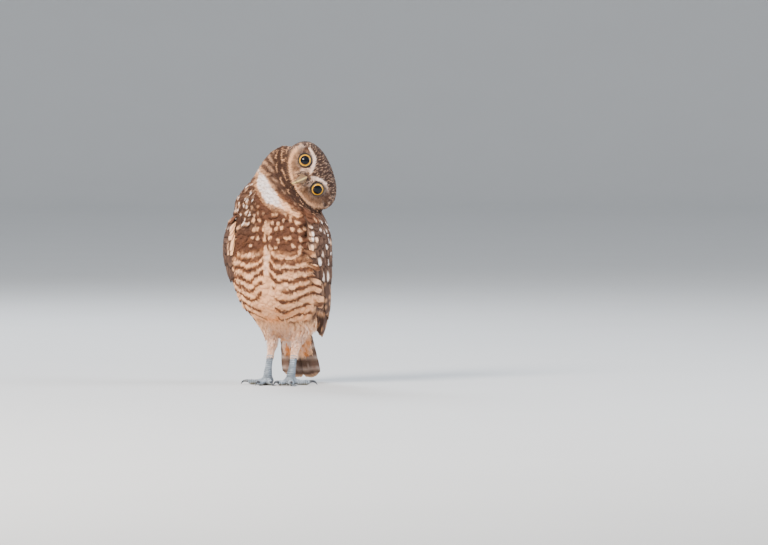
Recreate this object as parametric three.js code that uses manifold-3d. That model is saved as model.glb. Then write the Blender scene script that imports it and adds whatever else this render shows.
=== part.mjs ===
// A burrowing owl standing tall on both legs, its head turned to its left and rolled right over on one side.
// Millimetres, +Z up. The body faces -Y and +X is the bird's own left. The floor is at z = 0.
import * as THREE from 'three';
import { mergeVertices } from 'three/addons/utils/BufferGeometryUtils.js';
import Module from 'manifold-3d';

const wasm = await Module();
wasm.setup();

// Driving dimensions
const GAP = 0.32; // between two pieces that touch
const HEAD_TURN = 17; // degrees the head and the feet are turned to the bird's left
const HEAD_ROLL = 67; // degrees the crown has gone over to the bird's left
const HEAD_YAW = 3; // degrees the bill points past the line of the neck
const HEAD_CENTRE = [31.6, -5, 211.6]; // in the turned frame
const HEAD_HALF_WIDTH = { left: 38.5, right: 33.5 }; // the lower side's plumage is pushed out
const CROWN_HEIGHT = 21; // above the line of the eyes
const CHIN_DEPTH = 22.5;
const FACE_DEPTH = 23; // from the head's centre to the face
const NAPE_DEPTH = 32;
const EYE_SPACING = 32.4;
const EYE_RADIUS = 8.6; // of the eyeball
const EYE_OPENING = 6.7; // radius between the lids
const EYE_OUTWARD = 13; // degrees each eye looks away from straight ahead
const TAIL_LENGTH = 73.5;
const TAIL_HALF_WIDTH = 20.6;
const TAIL_PAIRS = 5;
const VANE_THICKNESS = 0.55;
const VANE_STEP = 1; // from the middle of one vane to that of the vane that lies over it
const TOE_RADIUS = 2.9;
const CLAW_RADIUS = 1.55;

const UP = new THREE.Vector3(0, 0, 1);
const rad = THREE.MathUtils.degToRad;
const lerp = THREE.MathUtils.lerp;
const smooth = (x, low, high) => THREE.MathUtils.smoothstep(x, low, high);
const vec = (x, y, z) => new THREE.Vector3(x, y, z);
const bell = (x, width) => Math.exp(-((x / width) ** 2));

// Finishes
const finish = (color, roughness = 0.85) => new THREE.MeshStandardMaterial({ color, roughness, metalness: 0 });
const PLUMAGE = finish(0xa98a74);
const WING = finish(0x7b6150);
const TAIL = finish(0x8f7d69);
const FACE = finish(0xb49a83);
const SKIN = finish(0xa9b2b8, 0.7);
const CLAW = finish(0x2b2d33, 0.45);
const BILL = finish(0xb5b08c, 0.5);
const EYE = finish(0xe0b020, 0.15);

// A smooth function through a table's rows: the first column is the place, the others are the values there.
function through(rows) {
  const slope = (i, c) => {
    const a = rows[Math.max(i - 1, 0)];
    const b = rows[Math.min(i + 1, rows.length - 1)];
    return (b[c] - a[c]) / (b[0] - a[0]);
  };
  return (x) => {
    let i = 0;
    while (i < rows.length - 2 && x > rows[i + 1][0]) i += 1;
    const [p, q] = [rows[i], rows[i + 1]];
    const step = q[0] - p[0];
    const t = THREE.MathUtils.clamp((x - p[0]) / step, 0, 1);
    const t2 = t * t;
    const t3 = t2 * t;
    return p.slice(1).map((value, k) => (2 * t3 - 3 * t2 + 1) * value
      + (t3 - 2 * t2 + t) * step * slope(i, k + 1)
      + (3 * t2 - 2 * t3) * q[k + 1]
      + (t3 - t2) * step * slope(i + 1, k + 1));
  };
}

// A mesh with points that all but meet made one, and without the triangles that this closes up.
function tidied(position, index, reach) {
  let geometry = new THREE.BufferGeometry();
  geometry.setAttribute('position', new THREE.BufferAttribute(position, 3));
  geometry.setIndex(Array.from(index));
  geometry = mergeVertices(geometry, reach);
  const corners = geometry.index.array;
  const kept = [];
  for (let i = 0; i < corners.length; i += 3) {
    const [a, b, c] = [corners[i], corners[i + 1], corners[i + 2]];
    if (a !== b && b !== c && c !== a) kept.push(a, b, c);
  }
  geometry.setIndex(kept);
  return geometry;
}

// A solid from points and triangles, turned the right way out.
function solid(points, triangles) {
  const geometry = tidied(new Float32Array(points.flatMap((p) => [p.x, p.y, p.z])), triangles.flat(), 1e-4);
  const vertProperties = geometry.attributes.position.array;
  const triVerts = new Uint32Array(geometry.index.array);
  const corner = (k) => vec(...vertProperties.subarray(3 * k, 3 * k + 3));
  let volume = 0;
  for (let i = 0; i < triVerts.length; i += 3) {
    volume += corner(triVerts[i]).dot(corner(triVerts[i + 1]).cross(corner(triVerts[i + 2])));
  }
  if (volume < 0) triVerts.reverse();
  return new wasm.Manifold(new wasm.Mesh({ numProp: 3, vertProperties, triVerts }));
}

// A closed skin over rings of points, with a fan over each end.
function skinOver(rings) {
  const n = rings[0].length;
  const points = rings.flat();
  const triangles = [];
  for (let i = 0; i < rings.length - 1; i += 1) {
    for (let j = 0; j < n; j += 1) {
      const [a, b] = [i * n + j, i * n + ((j + 1) % n)];
      triangles.push([a, b, b + n], [a, b + n, a + n]);
    }
  }
  const middle = (ring) => ring.reduce((sum, p) => sum.add(p), vec(0, 0, 0)).divideScalar(n);
  points.push(middle(rings[0]), middle(rings.at(-1)));
  const [first, last] = [points.length - 2, points.length - 1];
  const end = (rings.length - 1) * n;
  for (let j = 0; j < n; j += 1) {
    triangles.push([first, (j + 1) % n, j], [last, end + j, end + ((j + 1) % n)]);
  }
  return solid(points, triangles);
}

// A closed skin round a centre, its poles front and back: reach(direction) gives the distance out to it.
function blob(reach, around, tilts) {
  return skinOver(tilts.map((tilt) => Array.from({ length: around }, (_, j) => {
    const turn = (2 * Math.PI * j) / around;
    const wide = Math.sin(rad(tilt));
    const way = vec(wide * Math.cos(turn), -Math.cos(rad(tilt)), wide * Math.sin(turn));
    return way.clone().multiplyScalar(reach(way));
  })));
}

const evenTilts = (bands) => Array.from({ length: bands + 1 }, (_, i) => lerp(3, 177, i / bands));

// A tube along points, each row being x, y, z, half width and half height.
function tube(rows, sides, grow = 0, perRow = 1) {
  const path = new THREE.CatmullRomCurve3(rows.map((r) => vec(r[0], r[1], r[2])));
  const steps = (rows.length - 1) * perRow;
  const size = through(rows.map((r, i) => [i / (rows.length - 1), r[3], r[4] ?? r[3]]));
  const rings = [];
  for (let i = 0; i <= steps; i += 1) {
    const t = i / steps;
    const along = path.getTangent(t);
    const side = along.clone().cross(Math.abs(along.z) > 0.9 ? vec(0, -1, 0) : UP).normalize();
    const over = side.clone().cross(along).normalize();
    const [wide, high] = size(t);
    const centre = path.getPoint(t);
    rings.push(Array.from({ length: sides }, (_, j) => {
      const a = (2 * Math.PI * j) / sides;
      return centre.clone().addScaledVector(side, (wide + grow) * Math.cos(a))
        .addScaledVector(over, (high + grow) * Math.sin(a));
    }));
  }
  return skinOver(rings);
}

// The space below a height, to cut the floor's flats.
function below(height) {
  const box = new THREE.BoxGeometry(400, 400, 60).translate(0, 0, height - 30).deleteAttribute('normal');
  box.deleteAttribute('uv');
  const merged = mergeVertices(box);
  const corners = merged.attributes.position;
  const points = Array.from({ length: corners.count }, (_, i) => vec().fromBufferAttribute(corners, i));
  return solid(points, [Array.from(merged.index.array)]);
}

const largest = (made) => made.decompose().reduce((a, b) => (a.volume() > b.volume() ? a : b));
const join = (pieces) => wasm.Manifold.union(pieces);

function node(name, made, material) {
  const { numProp, numVert, vertProperties, triVerts } = largest(made).getMesh();
  const position = new Float32Array(numVert * 3);
  for (let i = 0; i < numVert; i += 1) {
    position.set(vertProperties.subarray(i * numProp, i * numProp + 3), i * 3);
  }
  const geometry = tidied(position, triVerts, 2e-3);
  geometry.computeVertexNormals();
  const mesh = new THREE.Mesh(geometry, material);
  mesh.name = name;
  return mesh;
}

// The torso: height, front, back and half width of its level sections, breast to vent
const TORSO_TOP = 168;
const torsoAt = through([
  [43, 33, 43, 6], [48, 25, 47, 13], [54, 12, 49.5, 19], [62, -9, 51, 28], [72, -25, 50.5, 34.5],
  [84, -35, 48.5, 40], [100, -40.5, 45, 44.5], [120, -43, 41, 47.5], [140, -42.5, 37.5, 48],
  [156, -40, 34, 47], [TORSO_TOP, -37, 31, 45],
]);
const ROUND = 28; // points round the torso and neck

function torsoPoint(z, angle, grow = 0) {
  const [front, back, half] = torsoAt(z);
  const deep = (back - front) / 2 + grow;
  return vec((half + grow) * Math.cos(angle), (front + back) / 2 + deep * Math.sin(angle), z);
}

function torso(grow = 0) {
  const levels = [43, 46, 50, 54, 59, 65, 72, 80, 90, 102, 116, 132, 146, 158, TORSO_TOP];
  const rings = levels.map((z) => Array.from({ length: ROUND }, (_, j) => (
    torsoPoint(z, (2 * Math.PI * j) / ROUND, grow))));
  if (grow) rings[0].forEach((p) => p.add(vec(0, 0, -grow)));
  return skinOver(rings);
}

// The neck bends about a pivot beside the cheek: each section's tilt, inner and outer reach, half depth, and how
// far its middle lies behind the head's
const NECK_PIVOT = [46, 169]; // across and up, in the turned frame
const neckAt = through([
  [0, 2, 95, 34, 4], [10, 2.4, 90, 33, 4.5], [20, 2.9, 84, 31, 5.5], [30, 3.5, 81.2, 28.6, 6.8],
  [40, 4.3, 82.4, 26.4, 7.8], [50, 5.2, 84, 25.2, 8.2], [58, 7, 83, 24, 8.2], [66, 11, 77, 20, 8],
]);
const NECK_BLEND = 24; // degrees of tilt over which the neck takes its own shape

function neckPoint(tilt, angle, grow = 0) {
  const [inner, outer, depth, behind] = neckAt(tilt);
  const reach = (inner + outer) / 2 - ((outer - inner) / 2 + grow) * Math.cos(angle);
  const a = rad(tilt);
  const across = NECK_PIVOT[0] - reach * Math.cos(a);
  const along = HEAD_CENTRE[1] + behind + (depth + grow) * Math.sin(angle);
  const own = vec(across, along, NECK_PIVOT[1] + reach * Math.sin(a)).applyAxisAngle(UP, rad(HEAD_TURN));
  const base = torsoPoint(TORSO_TOP, angle + rad(HEAD_TURN), grow);
  base.z += GAP;
  if (tilt > 0) base.setZ(lerp(base.z, own.z, 0.9));
  return base.lerp(own, smooth(tilt, 0, NECK_BLEND));
}

function neck(grow = 0) {
  const tilts = [0, 6, 12, 19, 26, 34, 42, 50, 58, 66];
  return skinOver(tilts.map((tilt) => Array.from({ length: ROUND }, (_, j) => (
    neckPoint(tilt, (2 * Math.PI * j) / ROUND, grow)))));
}

// The head, in its own frame: it looks along -Y with the crown up and its centre on the line of the eyes
const headBase = (x, y, z) => {
  const p = 2.25;
  const wide = x > 0 ? HEAD_HALF_WIDTH.left : HEAD_HALF_WIDTH.right;
  const deep = y < 0 ? FACE_DEPTH : NAPE_DEPTH;
  const high = z > 0 ? CROWN_HEIGHT : CHIN_DEPTH;
  return ((Math.abs(x) / wide) ** p + (Math.abs(y) / deep) ** p + (Math.abs(z) / high) ** p) ** (-1 / p);
};

// How far the face stands out from the plain head: dishes, disc rim, brows, the ridge over the bill, cheeks
function faceRelief(x, y, z) {
  const front = smooth(-y, 2, 12);
  const side = Math.abs(x);
  const fromEye = Math.hypot(side - EYE_SPACING / 2, z);
  const dish = -1.7 * bell(fromEye - 10.5, 4.5);
  const rimHalf = (x > 0 ? HEAD_HALF_WIDTH.left : HEAD_HALF_WIDTH.right) - 4;
  const rimAt = Math.hypot(x / rimHalf, (z + 1) / 18.5);
  const rim = 1.3 * bell(rimAt - 1, 0.13);
  const browLine = 5.2 + 0.3 * side;
  const brow = 1.9 * bell(z - browLine, 2.6) * smooth(side, 1, 6) * (1 - smooth(side, 22, 29));
  const ridge = 3.1 * bell(side, 4.2) * bell(z + 3, 8);
  const cheek = 1.5 * bell(side - 9, 5) * bell(z + 13, 5);
  return front * (dish + rim + brow + ridge + cheek);
}

// Closer over the face than behind
const HEAD_TILTS = [2, 7, 13, 19, 25, 31, 37, 43, 49, 55, 62, 70, 79, 89, 100, 113, 127, 142, 158, 176];

function headSkin(grow = 0) {
  return blob((way) => {
    const r = headBase(way.x, way.y, way.z);
    return r + faceRelief(way.x * r, way.y * r, way.z * r) + grow;
  }, 38, HEAD_TILTS);
}

const eyeForward = (side) => vec(side * Math.sin(rad(EYE_OUTWARD)), -Math.cos(rad(EYE_OUTWARD)), 0);
const eyeCentre = (side) => vec(side * (EYE_SPACING / 2 - 1.9), -13.3, 0);
const ball = (centre, radius, around, bands) => (
  blob(() => radius, around, evenTilts(bands)).translate([centre.x, centre.y, centre.z]));

// The lids: a soft ring round each eye, proud of the ball
const [LID_STEPS, LID_SIDES] = [20, 5];

function lidRing(side) {
  const forward = eyeForward(side);
  const across = UP.clone().cross(forward).normalize();
  const seat = Math.sqrt(EYE_RADIUS ** 2 - EYE_OPENING ** 2);
  const centre = eyeCentre(side).addScaledVector(forward, seat + 0.1);
  const rings = Array.from({ length: LID_STEPS }, (_, i) => {
    const a = (2 * Math.PI * i) / LID_STEPS;
    const out = across.clone().multiplyScalar(Math.cos(a)).addScaledVector(UP, Math.sin(a));
    return Array.from({ length: LID_SIDES }, (_unused, j) => {
      const b = (2 * Math.PI * j) / LID_SIDES;
      return centre.clone().addScaledVector(out, EYE_OPENING + 1 + 1.15 * Math.cos(b))
        .addScaledVector(forward, 1.25 * Math.sin(b) - 0.4);
    });
  });
  const points = rings.flat();
  const triangles = [];
  for (let i = 0; i < LID_STEPS; i += 1) {
    const [here, next] = [i * LID_SIDES, ((i + 1) % LID_STEPS) * LID_SIDES];
    for (let j = 0; j < LID_SIDES; j += 1) {
      const k = (j + 1) % LID_SIDES;
      triangles.push([here + j, here + k, next + k], [here + j, next + k, next + j]);
    }
  }
  return solid(points, triangles);
}

// The bill: x, y, z, half width and half height along its length
const UPPER_BILL = [[0, -14, -5, 5.4, 5.2], [0, -21, -4.4, 5.4, 5], [0, -27.2, -6.4, 4.7, 4.4],
  [0, -30.6, -10.8, 3.6, 3.6], [0, -31, -15.8, 2.1, 2.3], [0, -29.4, -20.6, 0.45, 0.5]];
const LOWER_BILL = [[0, -13, -12, 4.2, 3], [0, -19, -13.4, 4, 2.8], [0, -24.5, -15.4, 2.9, 2],
  [0, -27.6, -17.6, 0.8, 0.7]];

const upperBill = (grow = 0) => tube(UPPER_BILL, 11, grow, 2);
const lowerBill = (grow = 0) => tube(LOWER_BILL, 10, grow);

function nostrils() {
  return join([-1, 1].map((side) => ball(vec(side * 3.6, -27.4, -3.6), 0.95, 7, 4)));
}

// The corners of the mouth run a little way into the cheeks
function gapes() {
  return join([-1, 1].map((side) => tube([[side * 3, -23, -12.2, 0.55], [side * 7, -21.4, -13.4, 0.55],
    [side * 10, -20.4, -15.4, 0.4]], 5)));
}

function headNodes() {
  const sockets = join([-1, 1].map((side) => ball(eyeCentre(side), EYE_RADIUS + GAP, 16, 9)));
  const balls = [1, -1].map((side) => ball(eyeCentre(side), EYE_RADIUS, 16, 9));
  const upper = upperBill();
  const lower = lowerBill().subtract(upperBill(GAP));
  const bills = join([upperBill(GAP), lowerBill(GAP)]);
  const head = join([headSkin(), lidRing(1), lidRing(-1)]).subtract(sockets).subtract(bills).subtract(gapes());
  return [
    node('head', head, FACE),
    node('bill_upper', upper.subtract(nostrils()), BILL),
    node('bill_lower', lower, BILL),
    node('eye_left', balls[0], EYE),
    node('eye_right', balls[1], EYE),
  ];
}

const headGroup = new THREE.Group();
headGroup.position.set(...HEAD_CENTRE);
headGroup.rotation.set(0, rad(HEAD_ROLL), rad(HEAD_YAW), 'YXZ');
const turned = new THREE.Group();
turned.rotation.z = rad(HEAD_TURN);
turned.add(headGroup);
turned.updateMatrixWorld(true);

// The folded wing's outer face: at each height its front edge, fullest point and back edge, across and along
const wingAt = through([
  [44, 24, 47, 25.5, 55, 7, 64], [52, 26.5, 41, 28, 53.5, 7, 63], [60, 29.5, 32, 34, 48, 7, 60.5],
  [75, 37, 6, 40, 37.5, 8, 57.5], [90, 41, -7, 44.8, 26, 10, 54.5], [105, 41.5, -19.5, 49, 14, 13, 52],
  [120, 41, -25.5, 53, 5, 17, 49], [135, 39.5, -29.5, 54, 0, 20, 45.5], [150, 37.5, -31.5, 53, -1, 22, 41],
  [165, 35.5, -30, 47.5, 1, 24.5, 39], [176, 32, -24, 39, 2, 22, 31],
]);
const WING_TOP = 172;
const WING_ARM_END = 84; // the lowest part of the flesh and coverts

function wingFace(t, z, out = 0) {
  const level = (height) => {
    const [fx, fy, mx, my, bx, by] = wingAt(height);
    return (s) => {
      const [a, b, c] = [(1 - s) * (1 - 2 * s), 4 * s * (1 - s), s * (2 * s - 1)];
      return vec(a * fx + b * mx + c * bx, a * fy + b * my + c * by, height);
    };
  };
  const here = level(z)(t);
  if (!out) return here;
  return here.addScaledVector(wingNormal(t, z), out);
}

function wingNormal(t, z) {
  const step = 0.02;
  const across = wingFace(t + step, z).sub(wingFace(t - step, z));
  const upward = wingFace(t, z + 1).sub(wingFace(t, z - 1));
  return across.cross(upward).normalize();
}

// The arm of the wing: a pad with thin edges between the outer face and the body
function wingArm() {
  const [columns, rows] = [8, 8];
  const outer = [];
  const inner = [];
  for (let i = 0; i <= rows; i += 1) {
    const z = lerp(WING_ARM_END, WING_TOP, i / rows);
    for (let j = 0; j <= columns; j += 1) {
      const t = lerp(0, 0.9, j / columns);
      const edge = Math.min(1, Math.min(j, columns - j) / 1.6, i / 2.4, (rows - i) / 1.6);
      outer.push(wingFace(t, z, -1.1 - 0.6 * (1 - edge)));
      inner.push(wingFace(t, z, -2.1 - 0.4 * (1 - edge) - 10 * edge));
    }
  }
  const wide = columns + 1;
  const count = outer.length;
  const triangles = [];
  for (let i = 0; i < rows; i += 1) {
    for (let j = 0; j < columns; j += 1) {
      const a = i * wide + j;
      const [b, c, d] = [a + 1, a + wide, a + wide + 1];
      triangles.push([a, b, d], [a, d, c]);
      triangles.push([count + a, count + d, count + b], [count + a, count + c, count + d]);
    }
  }
  const rim = [];
  for (let j = 0; j < columns; j += 1) rim.push([j, j + 1]);
  for (let i = 0; i < rows; i += 1) rim.push([i * wide + columns, (i + 1) * wide + columns]);
  for (let j = columns; j > 0; j -= 1) rim.push([rows * wide + j, rows * wide + j - 1]);
  for (let i = rows; i > 0; i -= 1) rim.push([i * wide, (i - 1) * wide]);
  rim.forEach(([a, b]) => triangles.push([a, count + a, count + b], [a, count + b, b]));
  return solid([...outer, ...inner], triangles);
}

// One feather vane along a line: place(s) gives its middle, its outward normal and its tilt in degrees at s from
// root to tip. Both faces are split along the same diagonals, so that the thin plate keeps its thickness.
function vane(place, halfWidth, profile) {
  const steps = profile.length - 1;
  const middles = Array.from({ length: steps + 1 }, (_, i) => place(i / steps));
  const points = [];
  middles.forEach(({ centre, normal, tilt }, i) => {
    const next = middles[Math.min(i + 1, steps)].centre;
    const last = middles[Math.max(i - 1, 0)].centre;
    const along = next.clone().sub(last).normalize();
    const side = along.clone().cross(normal).normalize();
    const face = side.clone().cross(along).normalize();
    const half = halfWidth * profile[i];
    const across = side.clone().multiplyScalar(Math.cos(rad(tilt))).addScaledVector(face, Math.sin(rad(tilt)));
    [[-1, -1], [1, -1], [1, 1], [-1, 1]].forEach(([w, h]) => {
      const edge = centre.clone().addScaledVector(across, w * half);
      points.push(edge.addScaledVector(face, (h * VANE_THICKNESS) / 2));
    });
  });
  const triangles = [[0, 3, 2], [0, 2, 1]];
  for (let i = 0; i < steps; i += 1) {
    const [a, b] = [4 * i, 4 * (i + 1)];
    triangles.push([a, a + 1, b + 1], [a, b + 1, b], [a + 3, b + 2, a + 2], [a + 3, b + 3, b + 2]);
    triangles.push([a + 1, a + 2, b + 2], [a + 1, b + 2, b + 1], [a, b + 3, a + 3], [a, b, b + 3]);
  }
  const end = 4 * steps;
  triangles.push([end, end + 1, end + 2], [end, end + 2, end + 3]);
  return solid(points, triangles);
}

const LONG_VANE = [0.6, 0.95, 1, 0.86, 0.3];
const SHORT_VANE = [0.6, 1, 0.92, 0.35];

// Tiers of the wing's feathers: how many, the first and last one's place across, root height and tip height, half
// the width, how far root and tip stand off the wing's face, and the outline
const WING_TIERS = {
  primaries: {
    count: 6, across: [0.02, 0.3], root: [112, 116], tip: [57, 44], half: 4.6,
    lift: [-3, -2.4], outline: LONG_VANE,
  },
  secondaries: {
    count: 6, across: [0.3, 0.93], root: [116, 124], tip: [64, 52], half: 6.4,
    lift: [-1.9, 0.4], outline: LONG_VANE,
  },
  greaterCoverts: {
    count: 7, across: [0.05, 0.88], root: [136, 139], tip: [101, 97], half: 5.6,
    lift: [-2, 1.5], outline: SHORT_VANE,
  },
  medianCoverts: {
    count: 7, across: [0.06, 0.84], root: [150, 151], tip: [124, 122], half: 5.8,
    lift: [-2, 1.5], outline: SHORT_VANE,
  },
  lesserCoverts: {
    count: 6, across: [0.08, 0.8], root: [159, 160], tip: [140, 139], half: 6.2,
    lift: [-2, 1.5], outline: SHORT_VANE,
  },
  shoulder: {
    count: 5, across: [0.12, 0.76], root: [169, 169], tip: [152, 151], half: 6.4,
    lift: [-2, 1.3], outline: SHORT_VANE,
  },
};

function wingTier({ count, across, root, tip, half, lift, outline }) {
  const share = ([first, last], k) => lerp(first, last, k / (count - 1));
  return Array.from({ length: count }, (_, k) => {
    const place = (s) => {
      const z = lerp(share(root, k), share(tip, k), s);
      const spacing = wingFace(share(across, k + 0.5), z).distanceTo(wingFace(share(across, k - 0.5), z));
      return {
        centre: wingFace(share(across, k), z, lerp(lift[0], lift[1], s)),
        normal: wingNormal(share(across, k), z),
        tilt: THREE.MathUtils.radToDeg(Math.asin(Math.min(0.7, VANE_STEP / spacing))),
      };
    };
    return vane(place, half, outline);
  });
}

function wingSolid(side) {
  const whole = join([wingArm(), ...Object.values(WING_TIERS).flatMap(wingTier)]);
  return (side === 'left' ? whole : whole.mirror([1, 0, 0])).subtract(torso(GAP)).subtract(neck(GAP));
}

// The tail: a tapered root under soft coverts, and two halves of vanes, the middle ones on top
const TAIL_ROOT = vec(0, 44, 68);
const TAIL_SLOPE = 28; // degrees it stands back from plumb
const tailDown = vec(0, Math.sin(rad(TAIL_SLOPE)), -Math.cos(rad(TAIL_SLOPE)));
const tailBack = vec(0, Math.cos(rad(TAIL_SLOPE)), Math.sin(rad(TAIL_SLOPE)));
const tailPlace = (along, across, back) => TAIL_ROOT.clone().addScaledVector(tailDown, along)
  .add(vec(across, 0, 0)).addScaledVector(tailBack, back);

function tailRoot() {
  const rows = [[-6, 11, 5], [2, 14, 6], [12, 15.5, 5.4], [24, 16.5, 3.8], [36, 16, 2.2], [44, 12, 1.2]];
  return skinOver(rows.map(([along, half, thick]) => Array.from({ length: 16 }, (_, j) => {
    const a = (2 * Math.PI * j) / 16;
    return tailPlace(along, half * Math.cos(a), thick * Math.sin(a) - 1);
  })));
}

function tailVanes() {
  const half = 6.2;
  const tipStep = (TAIL_HALF_WIDTH - half * 1.1) / TAIL_PAIRS;
  return [-1, 1].flatMap((side) => Array.from({ length: TAIL_PAIRS }, (_, k) => {
    const layer = 2.2 - 1.3 * k;
    const [root, tip] = [side * (3 + 1.8 * k), side * (half + 0.9 + tipStep * k)];
    const back = (s) => lerp(0.3 * layer, layer, s) - 1.4 * s * s;
    const place = (s) => ({
      centre: tailPlace(lerp(8, TAIL_LENGTH - 0.6 * k, s), lerp(root, tip, s), back(s)),
      normal: tailBack,
      tilt: 0,
    });
    return vane(place, half, [0.6, 0.9, 1, 0.92, 0.45]);
  }));
}

// Legs: x, y, z and radius from the thigh to the foot, for the bird's left leg
const LEG = [[13.5, 6, 76, 13], [14.2, 11, 64, 11.8], [13.6, 15.5, 55, 8.8], [12.8, 17.4, 48, 6.1],
  [12.4, 16, 41, 4.6], [12.2, 12, 33, 3.8], [12, 8, 25, 3.35], [11.8, 4.5, 17, 3.5], [11.5, 1.6, 10.5, 4.4],
  [11.4, 0.8, 5, 4.4]];
const FOOT = { left: [11.4, 0, 4.6], right: [-12.8, 0, 4.6] };
const HUB_RADIUS = 6.7;
const HUB_HEIGHT = 5.2; // half of it
// Toes: the way each points, in degrees from straight ahead towards the bird's left, and its length
const TOES = {
  left: [[-26, 17], [20, 21], [98, 19], [176, 13]],
  right: [[30, 15], [-6, 21], [-84, 19], [-168, 13]],
};

function hub(side, grow = 0) {
  const [wide, high] = [HUB_RADIUS + grow, HUB_HEIGHT + grow];
  const shape = (way) => 1 / Math.hypot(way.x / wide, way.y / wide, way.z / high);
  return blob(shape, 12, evenTilts(7)).translate(FOOT[side]);
}

function leg(side, grow = 0) {
  const sign = side === 'left' ? 1 : -1;
  const shift = side === 'left' ? 0 : FOOT.left[0] + FOOT.right[0];
  return tube(LEG.map(([x, y, z, r]) => [sign * x + shift * smooth(60 - z, 0, 50), y, z, r]), 11, grow);
}

// Along a toe: x, y, z, half width and half height, with a swelling under each joint
function toeRows(side, k) {
  const [way, length] = TOES[side][k];
  const [x, y] = FOOT[side];
  const [dx, dy] = [Math.sin(rad(way)), -Math.cos(rad(way))];
  const at = (d, z, r) => [x + dx * d, y + dy * d, z, r, r * 0.95];
  return {
    at,
    length,
    rows: [at(4.5, 4.2, TOE_RADIUS - 0.1), at(8.6, 2.7, TOE_RADIUS),
      at(lerp(8.6, length, 0.45), 2.6, TOE_RADIUS - 0.4), at(lerp(8.6, length, 0.75), 2.5, TOE_RADIUS),
      at(length, 2.9, 2.1)],
  };
}

function claw(side, k, grow = 0) {
  const { at, length } = toeRows(side, k);
  const rows = [[-1.6, 3, CLAW_RADIUS], [1.6, 4, CLAW_RADIUS - 0.1], [4.8, 3.9, 1.15], [7, 2.5, 0.75],
    [8.2, 0.55, 0.3]];
  return tube(rows.map(([d, z, r]) => at(length + d, z, r)), 6, grow);
}

const TOE_SIDES = 7;

function footNodes(side) {
  const [floor, legCut] = [below(0), leg(side, GAP)];
  const made = [node(`foot_${side}`, hub(side).subtract(legCut).subtract(floor), SKIN)];
  TOES[side].forEach((_, k) => {
    const cuts = [hub(side, GAP), claw(side, k, GAP), legCut, floor];
    if (k > 0) cuts.push(tube(toeRows(side, k - 1).rows, TOE_SIDES, GAP));
    const toe = tube(toeRows(side, k).rows, TOE_SIDES).subtract(join(cuts));
    made.push(node(`toe_${side}_${k + 1}`, toe, SKIN));
    made.push(node(`claw_${side}_${k + 1}`, claw(side, k), CLAW));
  });
  return made;
}

const legSolid = (side) => leg(side).subtract(torso(GAP)).subtract(below(FOOT.left[2] + 1.4));

// The head's skin, grown by the gap and set where the head stands, to cut the neck clear of it
const headCut = () => headSkin(GAP).transform(Array.from(headGroup.matrixWorld.elements));

const owl = new THREE.Group();
owl.add(node('torso', torso(), PLUMAGE));
owl.add(node('neck', neck().subtract(headCut()), PLUMAGE));
headNodes().forEach((mesh) => headGroup.add(mesh));
owl.add(turned);
owl.add(node('tail', join([tailRoot(), ...tailVanes()]).subtract(torso(GAP)), TAIL));
['left', 'right'].forEach((side) => {
  owl.add(node(`wing_${side}`, wingSolid(side), WING));
  owl.add(node(`leg_${side}`, legSolid(side), PLUMAGE));
  footNodes(side).forEach((mesh) => owl.add(mesh));
});

// The origin is on the floor, under the middle of the whole bird
const bird = new THREE.Group();
bird.add(owl);
bird.updateMatrixWorld(true);
const box = new THREE.Box3().setFromObject(bird, true);
owl.position.set(-(box.min.x + box.max.x) / 2, -(box.min.y + box.max.y) / 2, 0);

export default bird;
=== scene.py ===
"""A burrowing owl standing on both feet, its head rolled right over on one side.

Skin, feathers, wings, tail, eyes, bill, legs and feet. The shapes are worked out in millimetres in the owl's
own frame (it faces -Y, +X is its left, the floor is at z = 0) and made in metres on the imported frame.
"""

import math
from collections import namedtuple

import bpy
import numpy as np
from bpy.props import FloatProperty, FloatVectorProperty, IntProperty, PointerProperty
from bpy.types import Operator, Panel, PropertyGroup
from mathutils import Matrix, Vector
from mathutils.bvhtree import BVHTree
from mathutils.kdtree import KDTree


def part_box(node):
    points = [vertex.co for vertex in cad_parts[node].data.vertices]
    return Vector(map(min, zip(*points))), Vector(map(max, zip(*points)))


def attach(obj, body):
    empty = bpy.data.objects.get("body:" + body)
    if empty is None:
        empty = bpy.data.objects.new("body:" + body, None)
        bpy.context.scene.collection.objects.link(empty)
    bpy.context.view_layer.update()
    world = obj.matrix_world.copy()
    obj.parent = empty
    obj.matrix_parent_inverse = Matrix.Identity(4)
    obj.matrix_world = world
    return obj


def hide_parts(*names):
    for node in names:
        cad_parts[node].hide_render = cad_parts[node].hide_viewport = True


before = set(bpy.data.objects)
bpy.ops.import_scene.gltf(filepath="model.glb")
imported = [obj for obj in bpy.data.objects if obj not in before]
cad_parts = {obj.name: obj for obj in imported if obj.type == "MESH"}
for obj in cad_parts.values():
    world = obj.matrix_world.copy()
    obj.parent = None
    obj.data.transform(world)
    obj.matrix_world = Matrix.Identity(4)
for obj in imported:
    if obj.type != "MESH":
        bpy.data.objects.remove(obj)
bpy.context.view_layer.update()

bl_info = {
    "name": "Burrowing owl",
    "version": (1, 0, 0),
    "blender": (4, 5, 0),
    "location": "View3D > Sidebar > Owl",
    "description": "Dresses the packed owl in skin, feathers, scales and horn",
    "category": "Object",
}

# Named sizes of the solids, in millimetres and degrees

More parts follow.
